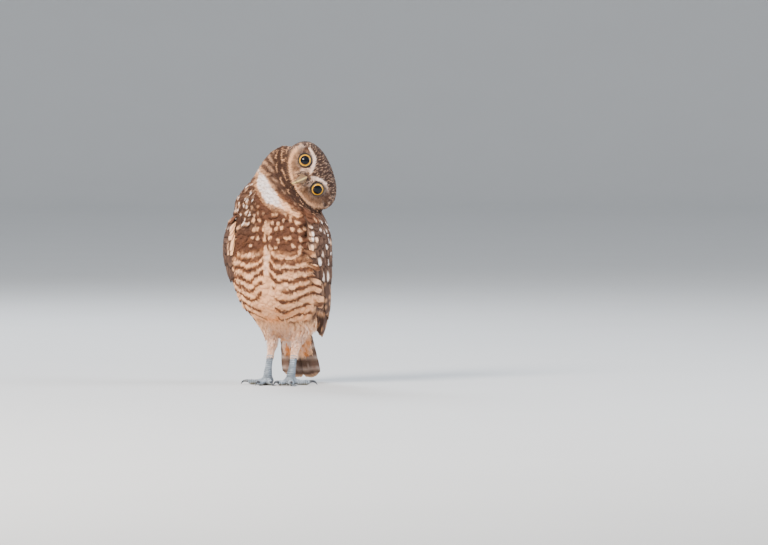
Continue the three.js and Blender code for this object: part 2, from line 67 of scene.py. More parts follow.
HEAD_TURN = 17.0
HEAD_ROLL = 67.0
HEAD_YAW = 3.0
HEAD_CENTRE = np.array([31.6, -5.0, 211.6])
HEAD_HALF_WIDTH = {"left": 38.5, "right": 33.5}
CROWN_HEIGHT = 21.0
CHIN_DEPTH = 22.5
FACE_DEPTH = 23.0
NAPE_DEPTH = 32.0
EYE_SPACING = 32.4
EYE_RADIUS = 8.6
EYE_OUTWARD = 13.0
NECK_PIVOT = (46.0, 169.0)
FOOT_PLACE = {"left": (11.4, 0.0), "right": (-12.8, 0.0)}
TOES = {  # the way each toe points, in degrees, and how far out it ends
    "left": [(-26, 17), (20, 21), (98, 19), (176, 13)],
    "right": [(30, 15), (-6, 21), (-84, 19), (-168, 13)],
}
TOE_RADIUS = 2.9
CLAW_RADIUS = 1.55
CLAW = [  # past the toe's end: along, height and radius
    (-1.6, 3, CLAW_RADIUS), (1.6, 4, CLAW_RADIUS - 0.1), (4.8, 3.9, 1.15), (7, 2.5, 0.75), (8.2, 0.62, 0.22),
]
LEG = [  # x, y, z and radius, on the left
    (13.5, 6, 76, 13), (14.2, 11, 64, 11.8), (13.6, 15.5, 55, 8.8), (12.8, 17.4, 48, 6.1),
    (12.4, 16, 41, 4.6), (12.2, 12, 33, 3.8), (12, 8, 25, 3.35), (11.8, 4.5, 17, 3.5),
    (11.5, 1.6, 10.5, 4.4), (11.4, 0.8, 5, 4.4),
]
UPPER_BILL = [  # x, y, z, half width and half height, in the head's frame
    (0, -13, -9, 4.6, 4.0), (0, -20, -8.6, 4.9, 4.2), (0, -25.2, -9.4, 4.6, 3.9), (0, -28.4, -12.4, 3.5, 3.1),
    (0, -29.6, -16.6, 2.0, 2.1), (0, -28.2, -20.9, 0.3, 0.36),
]
LOWER_BILL = [
    (0, -13, -12.6, 3, 2.6), (0, -19, -13.8, 2.9, 2.5), (0, -24.5, -15.4, 2.2, 1.9),
    (0, -27.4, -17.4, 0.6, 0.6),
]
MUZZLE = ((0.0, -14.6, -6.2), (6.4, 10.4, 8.4))  # middle and reach of the flesh round the bill's root
WING_FACE = [  # height, then x and y at the front edge, the middle and the back edge
    (44, 24, 47, 25.5, 55, 7, 64), (52, 26.5, 41, 28, 53.5, 7, 63), (60, 29.5, 32, 34, 48, 7, 60.5),
    (75, 37, 6, 40, 37.5, 8, 57.5), (90, 41, -7, 44.8, 26, 10, 54.5), (105, 41.5, -19.5, 49, 14, 13, 52),
    (120, 41, -25.5, 53, 5, 17, 49), (135, 39.5, -29.5, 54, 0, 20, 45.5), (150, 37.5, -31.5, 53, -1, 22, 41),
    (165, 35.5, -30, 47.5, 1, 24.5, 39), (176, 32, -24, 39, 2, 22, 31),
]
TAIL_ROOT = np.array([0.0, 44.0, 68.0])
TAIL_SLOPE = math.radians(28.0)
TAIL_DOWN = np.array([0.0, math.sin(TAIL_SLOPE), -math.cos(TAIL_SLOPE)])
TAIL_BACK = np.array([0.0, math.cos(TAIL_SLOPE), math.sin(TAIL_SLOPE)])
TAIL_LENGTH = 73.5
TAIL_HALF_WIDTH = 20.6
TAIL_FEATHER_HALF = 5.6
BARE_BELOW = 28.5
FLESH = ["torso", "neck", "head", "leg_left", "leg_right", "foot_left", "foot_right"]
FLESH += [f"toe_{side}_{k}" for side in TOES for k in range(1, 5)]
SIDES = {"left": 1, "right": -1}
UP = np.array([0.0, 0.0, 1.0])
MM = 0.001

# Sizes of the dress, in millimetres

PUPIL_RADIUS = 4.65
IRIS_RADIUS = 6.0
LID_RADIUS = 6.4  # where the lids lie on the ball
SWELL = 0.4  # how much each solid is grown, so that the pieces of flesh fuse
ROOT_DEPTH = 0.25  # how far under the skin a feather starts
PATCH = 0.003  # how wide each feather's patch is on the unwrap, as a share of it
TOP_TRIANGLES = 190000  # the most that one piece of the coat holds

# Bands of marks: two coordinates and the half width at each point of the middle line
THROAT_BAND = [(-21, 213, 1.5), (-17, 201, 5.5), (-11, 191, 7.2), (-2, 184, 5), (8, 177.5, 3), (17, 170, 1.2)]
BROW_BAND = [(0.6, -1.5, 1), (4.4, 2.6, 1.5), (8.4, 6.6, 1.7), (13, 9, 1.6), (18, 9.6, 1.1), (25, 8.6, 0.5)]
LORE_BAND = [(4, 1.5, 1.3), (7, -3.5, 2.3), (7.4, -9, 2.4), (6.6, -14, 1.8)]
CHEEK_BAND = [(9.5, -9.5, 1.5), (15, -13, 1.9), (22, -12.5, 1.4)]
DISC_TOP = ([0, 4, 8.5, 13, 20, 32], [0.5, 4.2, 8.4, 10.6, 10.6, 8.0])  # places across and heights


# Places and shapes in numbers

def smooth(x, low, high):
    t = np.clip((x - low) / (high - low), 0, 1)
    return t * t * (3 - 2 * t)


def bell(x, width):
    return np.exp(-((x / width) ** 2))


def mix(a, b, share):
    return a + (b - a) * share


def unit(v):
    return v / np.maximum(np.linalg.norm(v, axis=-1, keepdims=True), 1e-9)


def flat_on(v, normal):
    """The part of each direction that lies in the surface with that normal."""
    return unit(v - normal * np.sum(v * normal, -1, keepdims=True))


def circle(count):
    return np.linspace(0, 2 * math.pi, count, endpoint=False)


def turn(axis, degrees):
    return np.array(Matrix.Rotation(math.radians(degrees), 3, axis))


def middle_of(node):
    low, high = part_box(node)
    return (np.array(low) + np.array(high)) / 2 / MM


# The owl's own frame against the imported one, then the frame that is turned as the head is, and the head's own
SHIFT = np.append(middle_of("foot_left")[:2] - FOOT_PLACE["left"], 0.0)
TURN = turn("Z", HEAD_TURN)
HEAD_AXES = TURN @ turn("Y", HEAD_ROLL) @ turn("Z", HEAD_YAW)
HEAD_MIDDLE = TURN @ HEAD_CENTRE


def in_metres(p):
    return (p + SHIFT) * MM


def to_head(p):
    return (p - HEAD_MIDDLE) @ HEAD_AXES


def from_head(q):
    return q @ HEAD_AXES.T + HEAD_MIDDLE


def to_turned(p):
    return p @ TURN


def through(rows):
    """A smooth function through a table's rows: places in the first column, values in the others."""
    table = np.array(rows, float)
    at, values = table[:, 0], table[:, 1:]
    before = np.maximum(np.arange(len(at)) - 1, 0)
    after = np.minimum(np.arange(len(at)) + 1, len(at) - 1)
    slope = (values[after] - values[before]) / (at[after] - at[before])[:, None]

    def value(x):
        x = np.asarray(x, float)
        i = np.clip(np.searchsorted(at, x) - 1, 0, len(at) - 2)
        step = (at[i + 1] - at[i])[..., None]
        t = np.clip((x - at[i])[..., None] / step, 0, 1)
        near = (2 * t**3 - 3 * t**2 + 1) * values[i] + (t**3 - 2 * t**2 + t) * step * slope[i]
        return near + (3 * t**2 - 2 * t**3) * values[i + 1] + (t**3 - t**2) * step * slope[i + 1]

    return value


def draw(keys, seed):
    """A fixed random number from 0 to 1 for each row of whole numbers."""
    k = keys.astype(np.int64)
    h = (k[..., 0] * 73856093) ^ (k[..., 1] * 19349663) ^ (k[..., 2] * 83492791) ^ (seed * 40503)
    h = (h ^ (h >> 13)) * 1274126177
    h = h & 0xFFFFFFFF
    return ((h ^ (h >> 16)) & 0xFFFFFF) / float(0x1000000)


def grain(p, size, seed):
    """Smooth noise from -1 to 1."""
    q = p / size
    base = np.floor(q).astype(np.int64)
    t = q - base
    t = t * t * (3 - 2 * t)
    total = 0.0
    for corner in np.ndindex(2, 2, 2):
        share = np.prod(np.where(corner, t, 1 - t), axis=-1)
        total = total + share * draw(base + np.array(corner), seed)
    return 2 * total - 1


def scattered(u, v, size, seed, loose=0.3):
    """The way to each place from the nearest of a scattered set, and that one's own number."""
    at = np.stack([u, v], -1) / size
    base = np.floor(at).astype(np.int64)
    best = np.full(u.shape, 1e9)
    own = np.zeros(u.shape)
    way = np.zeros(at.shape)
    for step in np.ndindex(3, 3):
        key = base + np.array(step) - 1
        key = np.concatenate([key, np.zeros_like(key[..., :1])], -1)
        spot = key[..., :2] + 0.5
        spot = spot + loose * (2 * np.stack([draw(key, seed), draw(key, seed + 7)], -1) - 1)
        offset = (at - spot) * size
        far = np.linalg.norm(offset, axis=-1)
        nearer = far < best
        best = np.where(nearer, far, best)
        own = np.where(nearer, draw(key, seed + 13), own)
        way = np.where(nearer[..., None], offset, way)
    return way, own


def outside_band(u, v, path):
    """How far each place is outside a band along points, each with its half width. It is below 0 inside."""
    best = np.full(u.shape, 1e9)
    for (au, av, aw), (bu, bv, bw) in zip(path, path[1:]):
        du, dv = bu - au, bv - av
        t = np.clip(((u - au) * du + (v - av) * dv) / (du * du + dv * dv), 0, 1)
        best = np.minimum(best, np.hypot(u - au - t * du, v - av - t * dv) - mix(aw, bw, t))
    return best


wing_table = through(WING_FACE)


def wing_face(t, z, out=0.0):
    """The left wing's outer face: t runs from its front edge, 0, to its back edge, 1."""
    t, z = np.broadcast_arrays(np.asarray(t, float), np.asarray(z, float))
    f = wing_table(z)
    a, b, c = (1 - t) * (1 - 2 * t), 4 * t * (1 - t), t * (2 * t - 1)
    x = a * f[..., 0] + b * f[..., 2] + c * f[..., 4]
    y = a * f[..., 1] + b * f[..., 3] + c * f[..., 5]
    here = np.stack([x, y, z], -1)
    if np.isscalar(out) and out == 0.0:
        return here
    return here + wing_normal(t, z) * np.asarray(out, float)[..., None]


def wing_normal(t, z):
    across = wing_face(t + 0.02, z) - wing_face(t - 0.02, z)
    upward = wing_face(t, z + 1) - wing_face(t, z - 1)
    return unit(np.cross(across, upward))


def head_reach(q):
    """How far out a point in the head's frame is, against the plain head's skin: 1 is on it."""
    wide = np.where(q[:, 0] > 0, HEAD_HALF_WIDTH["left"], HEAD_HALF_WIDTH["right"])
    deep = np.where(q[:, 1] < 0, FACE_DEPTH, NAPE_DEPTH)
    high = np.where(q[:, 2] > 0, CROWN_HEIGHT, CHIN_DEPTH)
    power = 2.25
    return sum(np.abs(q[:, k] / half) ** power for k, half in enumerate((wide, deep, high))) ** (1 / power)


def from_eye(q):
    """How far each place in the head's frame is from the nearer eye's middle, seen from in front."""
    return np.hypot(np.abs(q[:, 0]) - EYE_SPACING / 2, q[:, 2])


def places(p):
    """What the markings and the coat go by at each place: its zones and the coordinates along them."""
    q = to_head(p)
    t = to_turned(p)
    reach = head_reach(q)
    beyond = (1 - 1 / np.maximum(reach, 1e-3)) * np.linalg.norm(q, axis=1)
    edge = mix(0.9, 3.8, smooth(-q[:, 1], 10, 18))
    tilt = np.degrees(np.arctan2(t[:, 2] - NECK_PIVOT[1], NECK_PIVOT[0] - t[:, 0]))
    round_body = np.arctan2(p[:, 0], -(p[:, 1] + 2))
    head = 1 - smooth(beyond, edge - 0.7, edge + 0.7)
    legs = (1 - smooth(p[:, 2], 58, 66)) * (1 - smooth(p[:, 1], 26, 31))
    return {
        "p": p, "q": q, "t": t, "z": p[:, 2],
        "beyond": beyond, "tilt": tilt, "round": round_body,
        "head": head, "neck": smooth(tilt, 2, 16) * (1 - head), "legs": legs,
        "face": smooth(-q[:, 1], 1, 8) * head,
        "from_eye": from_eye(q),
    }


# Markings: how pale, how dark and how warm the plumage is at each place. Skin and feathers share them

def laid(paint, share, pale, dark, warm):
    over = np.stack(np.broadcast_arrays(pale, dark, warm, share)[:3], 1)
    return paint + np.clip(share, 0, 1)[:, None] * (over - paint)


def body_marks(at):
    p, t, z = at["p"], at["t"], at["z"]
    around = at["round"] * 44
    wander = grain(p, 12, 3)
    fine = grain(p, 3.2, 4)
    front = 1 - smooth(np.abs(at["round"]), 1.55, 1.95)
    paint = np.tile([0.08, 0.1, 0.45], (len(p), 1))
    paint = laid(paint, smooth(fine, -0.2, 0.7) * 0.5, 0.2, 0.0, 0.6)
    # the back and the sides of the neck: small white spots
    way, own = scattered(around, z, 6.8, 21)
    oval = np.hypot(way[:, 0] * 1.25, way[:, 1] * 0.8)
    far_neck = smooth(-t[:, 0], 20, 27) * smooth(z, 146, 158)
    back = np.maximum(1 - front, far_neck)
    spot = (own > 0.35) * (1 - smooth(oval, 0.8 + 0.7 * own, 1.6 + 0.7 * own))
    paint = laid(paint, back * spot, 0.88, 0.0, 0.15)
    # the breast: round pale spots on brown
    breast = front * smooth(z + 6 * wander, 116, 132)
    paint = laid(paint, breast * (1 - far_neck), 0.05 + 0.12 * smooth(fine, 0, 0.8), 0.03, 0.85)
    way, own = scattered(around + 2 * wander, z, 8.0, 5)
    round_spot = np.hypot(way[:, 0] * mix(0.75, 1.15, own), way[:, 1] * 1.05)
    spot = 1 - smooth(round_spot, 0.95 + 1.1 * own, 2.0 + 1.1 * own)
    shown = breast * (own > 0.28) * mix(1, 0.45, smooth(z + 4 * wander, 164, 176))
    paint = laid(paint, shown * spot, 0.78, 0.0, mix(0.3, 0.5, own))
    # the belly: cream with wavy brown bars that hang from the midline
    scallop = 7 * grain(p * [1, 1, 0.8], 5, 14)
    belly = front * (1 - smooth(z + 6 * wander + scallop, 121, 135))
    warmth = mix(0.5, 0.66, smooth(-z, -96, -66))
    paint = laid(paint, belly, 0.98, 0.0, warmth + 0.12 * fine)
    off = np.abs(around)
    hang = 15 * np.exp(-off / 13) + 9 * smooth(off, 22, 56) + 3.0 * grain(p * [1, 1, 0.3], 10, 8)
    phase = ((z - hang) / 9.8 + 0.16 * (around > 0)) % 1
    width = mix(0.17, 0.3, smooth(z, 94, 128)) + 0.09 * grain(p * [1, 1, 1.6], 9, 9)
    bar = 1 - smooth(np.abs(phase - 0.5), width - 0.03, width + 0.06)
    clear = mix(0.5, 5.0, smooth(-z, -118, -90))
    centre_clear = smooth(off + 1.5 * wander - clear, 0, 3.5)
    left_low = mix(88, 60, smooth(around, 0, 18))
    right_low = mix(90, 66, smooth(-around, 4, 30))
    low = np.where(around > 0, left_low, right_low)
    broken = smooth(grain(p * [0.7, 0.7, 1.2], 6.5, 10), -0.9, -0.5)
    kept = centre_clear * smooth(z + 5 * wander, low - 6, low + 5) * broken
    paint = laid(paint, belly * bar * kept, 0.13 + 0.12 * smooth(fine, 0, 0.8), 0.0, 0.85)
    # the pale line down the middle of the breast
    line = np.abs(p[:, 0] + 1.2 * wander)
    middle = (1 - smooth(line, 1.7, 3.8)) * smooth(z, 96, 112) * (1 - smooth(z, 158, 168)) * front
    paint = laid(paint, middle * smooth(grain(p, 6, 11), -0.4, 0.2), 0.93, 0.0, 0.35)
    # the fluff between and behind the legs
    under_tail = 1 - smooth((p - TAIL_ROOT) @ TAIL_BACK, -4, 3)
    vent = (1 - smooth(z, 62, 82)) * smooth(p[:, 1], 8, 26) * under_tail
    paint = laid(paint, vent, 0.95, 0.0, 0.55 + 0.3 * grain(p, 9, 12))
    rust = bell(t[:, 0] + 6, 8) * bell(z - 58, 9) * (1 - smooth(p[:, 1], 14, 34))
    return laid(paint, rust * 0.9, 0.86, 0.0, 1.0)


def neck_marks(paint, at):
    p, t, q, z = at["p"], at["t"], at["q"], at["z"]
    wander = grain(p, 7, 31)
    # bars round the upper neck
    along = at["tilt"] * 1.43 + 1.6 * wander
    bar = smooth(np.abs((along / 7.4) % 1 - 0.5), 0.14, 0.36)
    upper = smooth(at["tilt"], 24, 32)
    paint = laid(paint, upper, 0.13, 0.16, 0.35)
    paint = laid(paint, upper * bar * smooth(wander, -0.55, 0.1), 0.46, 0.0, 0.45)
    # the white patch under the collar, with its warm lower edge
    band = outside_band(t[:, 0], z, THROAT_BAND)
    seen = 1 - smooth(t[:, 1], 2, 16)
    ragged = band + 1.5 * grain(p, 4.5, 33) + 2.2 * grain(p, 10, 34)
    edge = smooth(ragged, -1.5, 2.5) * (1 - smooth(ragged, 2.5, 5)) * smooth(at["beyond"], 16, 24)
    paint = laid(paint, seen * edge * 0.75, 0.6, 0.0, 0.6)
    creamy = smooth(t[:, 0], -6, 10)
    white = seen * (1 - smooth(ragged, -1.2, 1.4))
    paint = laid(paint, white, 1.0 - 0.14 * creamy, 0.0, 0.08 + 0.42 * creamy)
    # the streaked collar along the face
    chin_side = 1 - smooth(q[:, 2], 2, 9)
    near = (1 - smooth(at["beyond"] + wander, 12, 16)) * chin_side
    collar = near * (1 - smooth(t[:, 1], 8, 24)) * (1 - at["head"])
    paint = laid(paint, collar, 0.12, 0.45, 0.42)
    line = np.abs(((at["beyond"] + 1.1 * wander) / 4.7 + 0.1) % 1 - 0.5)
    broken = smooth(grain(p, 5, 35), -0.45, 0.0)
    paint = laid(paint, collar * (1 - smooth(line, 0.06, 0.19)) * broken, 0.66, 0.0, 0.66)
    dark = collar * bell(at["beyond"] - 4.4, 1.8) * smooth(q[:, 0], -16, 4)
    return laid(paint, dark * 0.75, 0.08, 0.8, 0.3)


def head_marks(at):
    q = at["q"]
    x, side, z = q[:, 0], np.abs(q[:, 0]), q[:, 2]
    mottle = grain(q, 2.6, 41)
    soft = grain(q, 6, 42)
    # the crown and nape: dark brown, streaked along the lie
    over = np.arctan2(z, -q[:, 1]) * 24
    paint = np.tile([0.07, 0.42, 0.2], (len(q), 1))
    way, own = scattered(x + 0.8 * soft, over * 0.45, 2.25, 43, 0.42)
    streak = np.hypot(way[:, 0] * 1.3, way[:, 1] * mix(0.55, 0.95, smooth(over, 26, 50)))
    paint = laid(paint, (1 - smooth(streak, 0.25, 0.85)) * (own > 0.15), 0.5, 0.0, 0.4)
    # the facial disc
    eye = at["from_eye"]
    disc = at["face"] * (1 - smooth(z - np.interp(side, *DISC_TOP), -0.6, 0.9))
    paint = laid(paint, disc, 0.13 + 0.24 * mottle, 0.14, 0.36 + 0.3 * soft)
    ray = np.arctan2(z, side - EYE_SPACING / 2)
    rays = grain(np.stack([ray * 7, eye * 0.25, np.sign(x)], 1), 1.0, 44)
    outer = disc * smooth(eye, 11, 15)
    paint = laid(paint, outer * smooth(rays, 0.0, 0.5) * 0.8, 0.12, 0.22, 0.5)
    paint = laid(paint, outer * smooth(-rays, 0.15, 0.7) * 0.6, 0.75, 0.0, 0.55)
    # a pale ring round each eye, greyer outside and whiter towards the bill
    ring = disc * bell(eye - 9.4 + 0.7 * mottle, 1.5)
    paint = laid(paint, ring * mix(0.45, 0.15, smooth(side, 12, 26)), 0.72, 0.0, 0.1)
    # brows that meet over the bill, and the lores below them
    brow = outside_band(side, z, BROW_BAND)
    faded = 1 - 0.75 * smooth(x, 13, 18)
    paint = laid(paint, at["face"] * faded * (1 - smooth(brow + 0.6 * mottle, -0.5, 0.8)), 1.0, 0.0, 0.22)
    lore = outside_band(side, z, LORE_BAND)
    paint = laid(paint, at["face"] * (1 - smooth(lore + 0.7 * mottle, -0.6, 1.0)) * 0.85, 0.86, 0.0, 0.3)
    patch = at["face"] * bell(side, 2.4) * bell(z + 1.8, 2.6)
    paint = laid(paint, patch * 0.8, 0.16, 0.1, 0.4)
    # brown from the bill's side across the cheek
    cheek = outside_band(side, z, CHEEK_BAND)
    paint = laid(paint, at["face"] * (1 - smooth(cheek + mottle, -1, 1.6)) * 0.6, 0.2, 0.12, 0.55)
    # the pale rim under the chin and round the cheeks
    rim_half = np.where(x > 0, HEAD_HALF_WIDTH["left"], HEAD_HALF_WIDTH["right"]) - 3.5
    rim = np.hypot(x / rim_half, (z + 1) / 19.0)
    lower = at["face"] * (1 - smooth(z, -8, 2))
    inside_rim = smooth(rim + 0.05 * mottle, 0.5, 0.85) * (1 - smooth(rim, 1.0, 1.08))
    paint = laid(paint, lower * inside_rim * 0.5, 0.58, 0.03, 0.62)
    rim_share = mix(0.95, 0.6, smooth(x, 0, 20))
    paint = laid(paint, rim_share * lower * bell(rim - 0.97 + 0.025 * mottle, 0.07), 0.9, 0.0, 0.62)
    paint = laid(paint, lower * smooth(rim, 1.06, 1.14), 0.12, 0.5, 0.45)
    side_rim = at["face"] * smooth(side, 25, 30) * bell(rim - 1.0, 0.07)
    paint = laid(paint, side_rim * smooth(mottle, -0.5, 0.3) * 0.7, 0.8, 0.0, 0.4)
    near_lid = disc * (1 - smooth(eye, 6.7, 7.3))
    return laid(paint, near_lid * 0.7, 0.15, 0.5, 0.3)


def leg_marks(at):
    p, z = at["p"], at["z"]
    paint = np.tile([0.95, 0.0, 0.3], (len(p), 1))
    paint = laid(paint, smooth(z, 40, 60) * 0.6, 0.93, 0.0, 0.55 + 0.2 * grain(p, 6, 52))
    outer = smooth(p[:, 0], 12, 20) * smooth(z, 46, 58)
    return laid(paint, outer * smooth(grain(p * [1, 1, 0.35], 3, 51), 0.1, 0.6) * 0.35, 0.6, 0.0, 0.3)


def markings(p):
    """Pale, dark and warm, each from 0 to 1, at each place on the owl."""
    at = places(p)
    paint = body_marks(at)
    paint = mix(paint, neck_marks(paint, at), smooth(at["tilt"], -8, 4)[:, None])
    paint = mix(paint, leg_marks(at), at["legs"][:, None])
    paint = mix(paint, head_marks(at), at["head"][:, None])
    return np.clip(paint, 0, 1)


# Meshes

def read(things, name, kind=np.int32):
    """A property of three numbers of each vertex or triangle, as rows."""
    out = np.zeros(len(things) * 3, kind)
    things.foreach_get(name, out)
    return out.reshape(-1, 3)


def points_and_triangles(mesh):
    """A mesh's points, in the owl's own frame, and its triangles."""
    mesh.calc_loop_triangles()
    points = read(mesh.vertices, "co", np.float32).astype(float) / MM - SHIFT
    return points, read(mesh.loop_triangles, "vertices")


def mesh_of(name, points, triangles):
    """A mesh in metres from points in the owl's own frame."""
    made = bpy.data.meshes.new(name)
    triangles = np.asarray(triangles, np.int32)
    made.vertices.add(len(points))
    made.vertices.foreach_set("co", in_metres(points).astype(np.float32).ravel())
    made.loops.add(triangles.size)
    made.loops.foreach_set("vertex_index", triangles.ravel())
    made.polygons.add(len(triangles))
    made.polygons.foreach_set("loop_start", np.arange(0, triangles.size, 3, dtype=np.int32))
    made.polygons.foreach_set("use_smooth", np.ones(len(triangles), bool))
    made.update(calc_edges=True)
    return made


def set_paint(made, paint):
    """The markings, kept on the mesh for its material: red is pale, green is dark, blue is warm."""
    layer = made.attributes.new("markings", "FLOAT_COLOR", "POINT")
    full = np.concatenate([paint, np.ones((len(paint), 1))], 1)
    layer.data.foreach_set("color", full.astype(np.float32).ravel())


def set_uv(made, name, uv):
    corners = np.zeros(len(made.loops), np.int32)
    made.loops.foreach_get("vertex_index", corners)
    layer = made.uv_layers.new(name=name)
    layer.uv.foreach_set("vector", uv[corners].astype(np.float32).ravel())


def linked(name, data):
    """A new object in the scene."""
    obj = bpy.data.objects.new(name, data)
    bpy.context.scene.collection.objects.link(obj)
    return obj


def baked_down(obj):
    """The mesh that an object's modifiers make; the object itself goes."""
    made = bpy.data.meshes.new_from_object(obj.evaluated_get(bpy.context.evaluated_depsgraph_get()))
    bpy.data.objects.remove(obj)
    return made


def piece(name, made, material, slot_name, *nodes):
    """A finished piece, riding on the owl and standing for those solids."""
    obj = linked(name, made)
    made.materials.clear()
    made.materials.append(material)
    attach(obj, "root")
    if nodes:
        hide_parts(*nodes)


def dressed(name, points, triangles, paint, material, slot_name, *nodes, **maps):
    """A piece made of points in the owl's own frame, with its markings and its UV maps."""
    made = mesh_of(name, points, triangles)
    set_paint(made, np.clip(paint, 0, 1))
    for label, uv in maps.items():
        set_uv(made, label, uv)
    piece(name, made, material, slot_name, *nodes)


def tube(rows, sides, per_row, peak=0.0):
    """A closed tube along rows of x, y, z, half width and half height; a peak sharpens its top."""
    rows = np.array([list(r) + [r[3]] * (5 - len(r)) for r in rows], float)
    at = np.linspace(0, 1, len(rows))
    path = through(np.column_stack([at, rows]))
    s = np.linspace(0, 1, (len(rows) - 1) * per_row + 1)
    here = path(s)
    ahead = path(np.minimum(s + 0.01, 1))
    behind = path(np.maximum(s - 0.01, 0))
    along = unit((ahead - behind)[:, :3])
    steep = np.mean(np.abs(along[:, 2])) > 0.9
    side = unit(np.cross(along, [0.0, -1.0, 0.0] if steep else [0.0, 0.0, 1.0]))
    over = np.cross(side, along)
    a = circle(sides)
    wide, high = here[:, 3, None, None], here[:, 4, None, None]
    flank = np.where(np.sin(a) > 0, mix(np.cos(a), np.sign(np.cos(a)) * (1 - np.sin(a)), peak), np.cos(a))
    points = here[:, None, :3] + side[:, None] * flank[None, :, None] * wide
    points = points + over[:, None] * np.sin(a)[None, :, None] * high
    return rings_closed(points)


def grid(rows, columns, round_rows=False, round_columns=False):
    """The triangles of a grid of points, closed on itself where its rows or its columns go round."""
    down, along = rows - 1 + round_rows, columns - 1 + round_columns
    i, j = np.meshgrid(np.arange(down), np.arange(along), indexing="ij")
    below, beside = (i + 1) % rows * columns, (j + 1) % columns
    a, b = (i * columns + j).ravel(), (i * columns + beside).ravel()
    c, d = (below + j).ravel(), (below + beside).ravel()
    return np.concatenate([np.column_stack([a, b, d]), np.column_stack([a, d, c])])


def outward(points, triangles):
    """The triangles of a closed surface, all turned to face out."""
    p = points[triangles]
    volume = np.sum(p[:, 0] * np.cross(p[:, 1], p[:, 2]))
    return triangles if volume > 0 else triangles[:, ::-1]


def rings_closed(rings):
    """Points and outward triangles of a skin over rings of points, closed at both ends."""
    count, n = rings.shape[:2]
    points = np.concatenate([rings.reshape(-1, 3), rings[0].mean(0)[None], rings[-1].mean(0)[None]])
    j = np.arange(n)
    end = (count - 1) * n
    first, last = np.full(n, count * n), np.full(n, count * n + 1)
    caps = [np.column_stack([first, (j + 1) % n, j]), np.column_stack([last, end + j, end + (j + 1) % n])]
    return points, outward(points, np.concatenate([grid(count, n, round_columns=True), *caps]))


def joined(parts):
    """Several sets of points and triangles as one."""
    start = np.cumsum([0] + [len(points) for points, _ in parts[:-1]])
    points = np.concatenate([points for points, _ in parts])
    return points, np.concatenate([triangles + s for (_, triangles), s in zip(parts, start)])


class Vane:
    """The pattern of one feather: a closed thin plate, domed across, with a fringed tip."""

    def __init__(self, rows, columns, outline, fringe, round_tip):
        self.rows, self.columns, self.fringe = rows, columns, fringe
        i, j = np.meshgrid(np.arange(rows + 1), np.arange(columns + 1), indexing="ij")
        s, w = i / rows, 2 * j / columns - 1
        tip = i == rows
        s = np.where(tip, 1 - round_tip * w**2, s)
        wide = np.interp(i / rows, np.linspace(0, 1, len(outline)), outline)
        under = np.arange(1, rows)
        self.s = np.concatenate([s.ravel(), under / rows])
        self.w = np.concatenate([w.ravel(), np.zeros(rows - 1)])
        self.wide = np.concatenate([wide.ravel(), np.ones(rows - 1)])
        self.under = np.concatenate([np.zeros(s.size), np.ones(rows - 1)])
        self.tip = np.concatenate([tip.ravel(), np.zeros(rows - 1, bool)])
        self.triangles = np.array(self.faces(), np.int64)

    def faces(self):
        rows, columns = self.rows, self.columns
        wide = columns + 1
        faces = []

        def below(i):
            return (rows + 1) * wide + i - 1

        for i in range(rows):
            for j in range(columns):
                a = i * wide + j
                faces += [(a, a + wide, a + wide + 1), (a, a + wide + 1, a + 1)]
        for j in range(columns):
            tip = rows * wide + j
            faces += [(j, j + 1, below(1)), (tip + 1, tip, below(rows - 1))]
        for i in range(rows):
            a, b = i * wide, (i + 1) * wide
            c, d = a + columns, b + columns
            near = below(min(max(i, 1), rows - 1))
            faces += [(b, a, near), (c, d, near)]
            if 1 <= i < rows - 1:
                faces += [(b, below(i), below(i + 1)), (d, below(i + 1), below(i))]
        return faces

    def lay(self, root, middle, tip, up, half, dice, dome=0.16, thick=0.28, tilt=0.0):
        """Every feather's points, its place along and across each, and its triangles."""
        n, v = len(root), len(self.s)
        s = np.tile(self.s, (n, 1))
        s = s + self.tip * self.fringe * (dice.random((n, v)) - 0.6)
        w = self.w * (1 + 0.07 * (dice.random((n, v)) - 0.5))
        half = np.broadcast_to(np.asarray(half, float), (n,))

        def blend(a, b, c):
            return a[..., None] * root[:, None] + b[..., None] * middle[:, None] + c[..., None] * tip[:, None]

        path = blend((1 - s) * (1 - 2 * s), 4 * s * (1 - s), s * (2 * s - 1))
        along = unit(blend(4 * s - 3, 4 - 8 * s, 4 * s - 1))
        side = unit(np.cross(up[:, None], along))
        over = np.cross(along, side)
        lean = np.radians(np.broadcast_to(np.asarray(tilt, float), (n,)))[:, None, None]
        across = side * np.cos(lean) + over * np.sin(lean)
        out = w * self.wide * half[:, None]
        rise = dome * half[:, None] * (1 - w**2) * self.wide - self.under * (thick + dome * half[:, None])
        points = path + across * out[..., None] + over * rise[..., None]
        triangles = self.triangles[None] + (np.arange(n) * v)[:, None, None]
        return points.reshape(-1, 3), s.ravel(), w.ravel(), triangles.reshape(-1, 3)


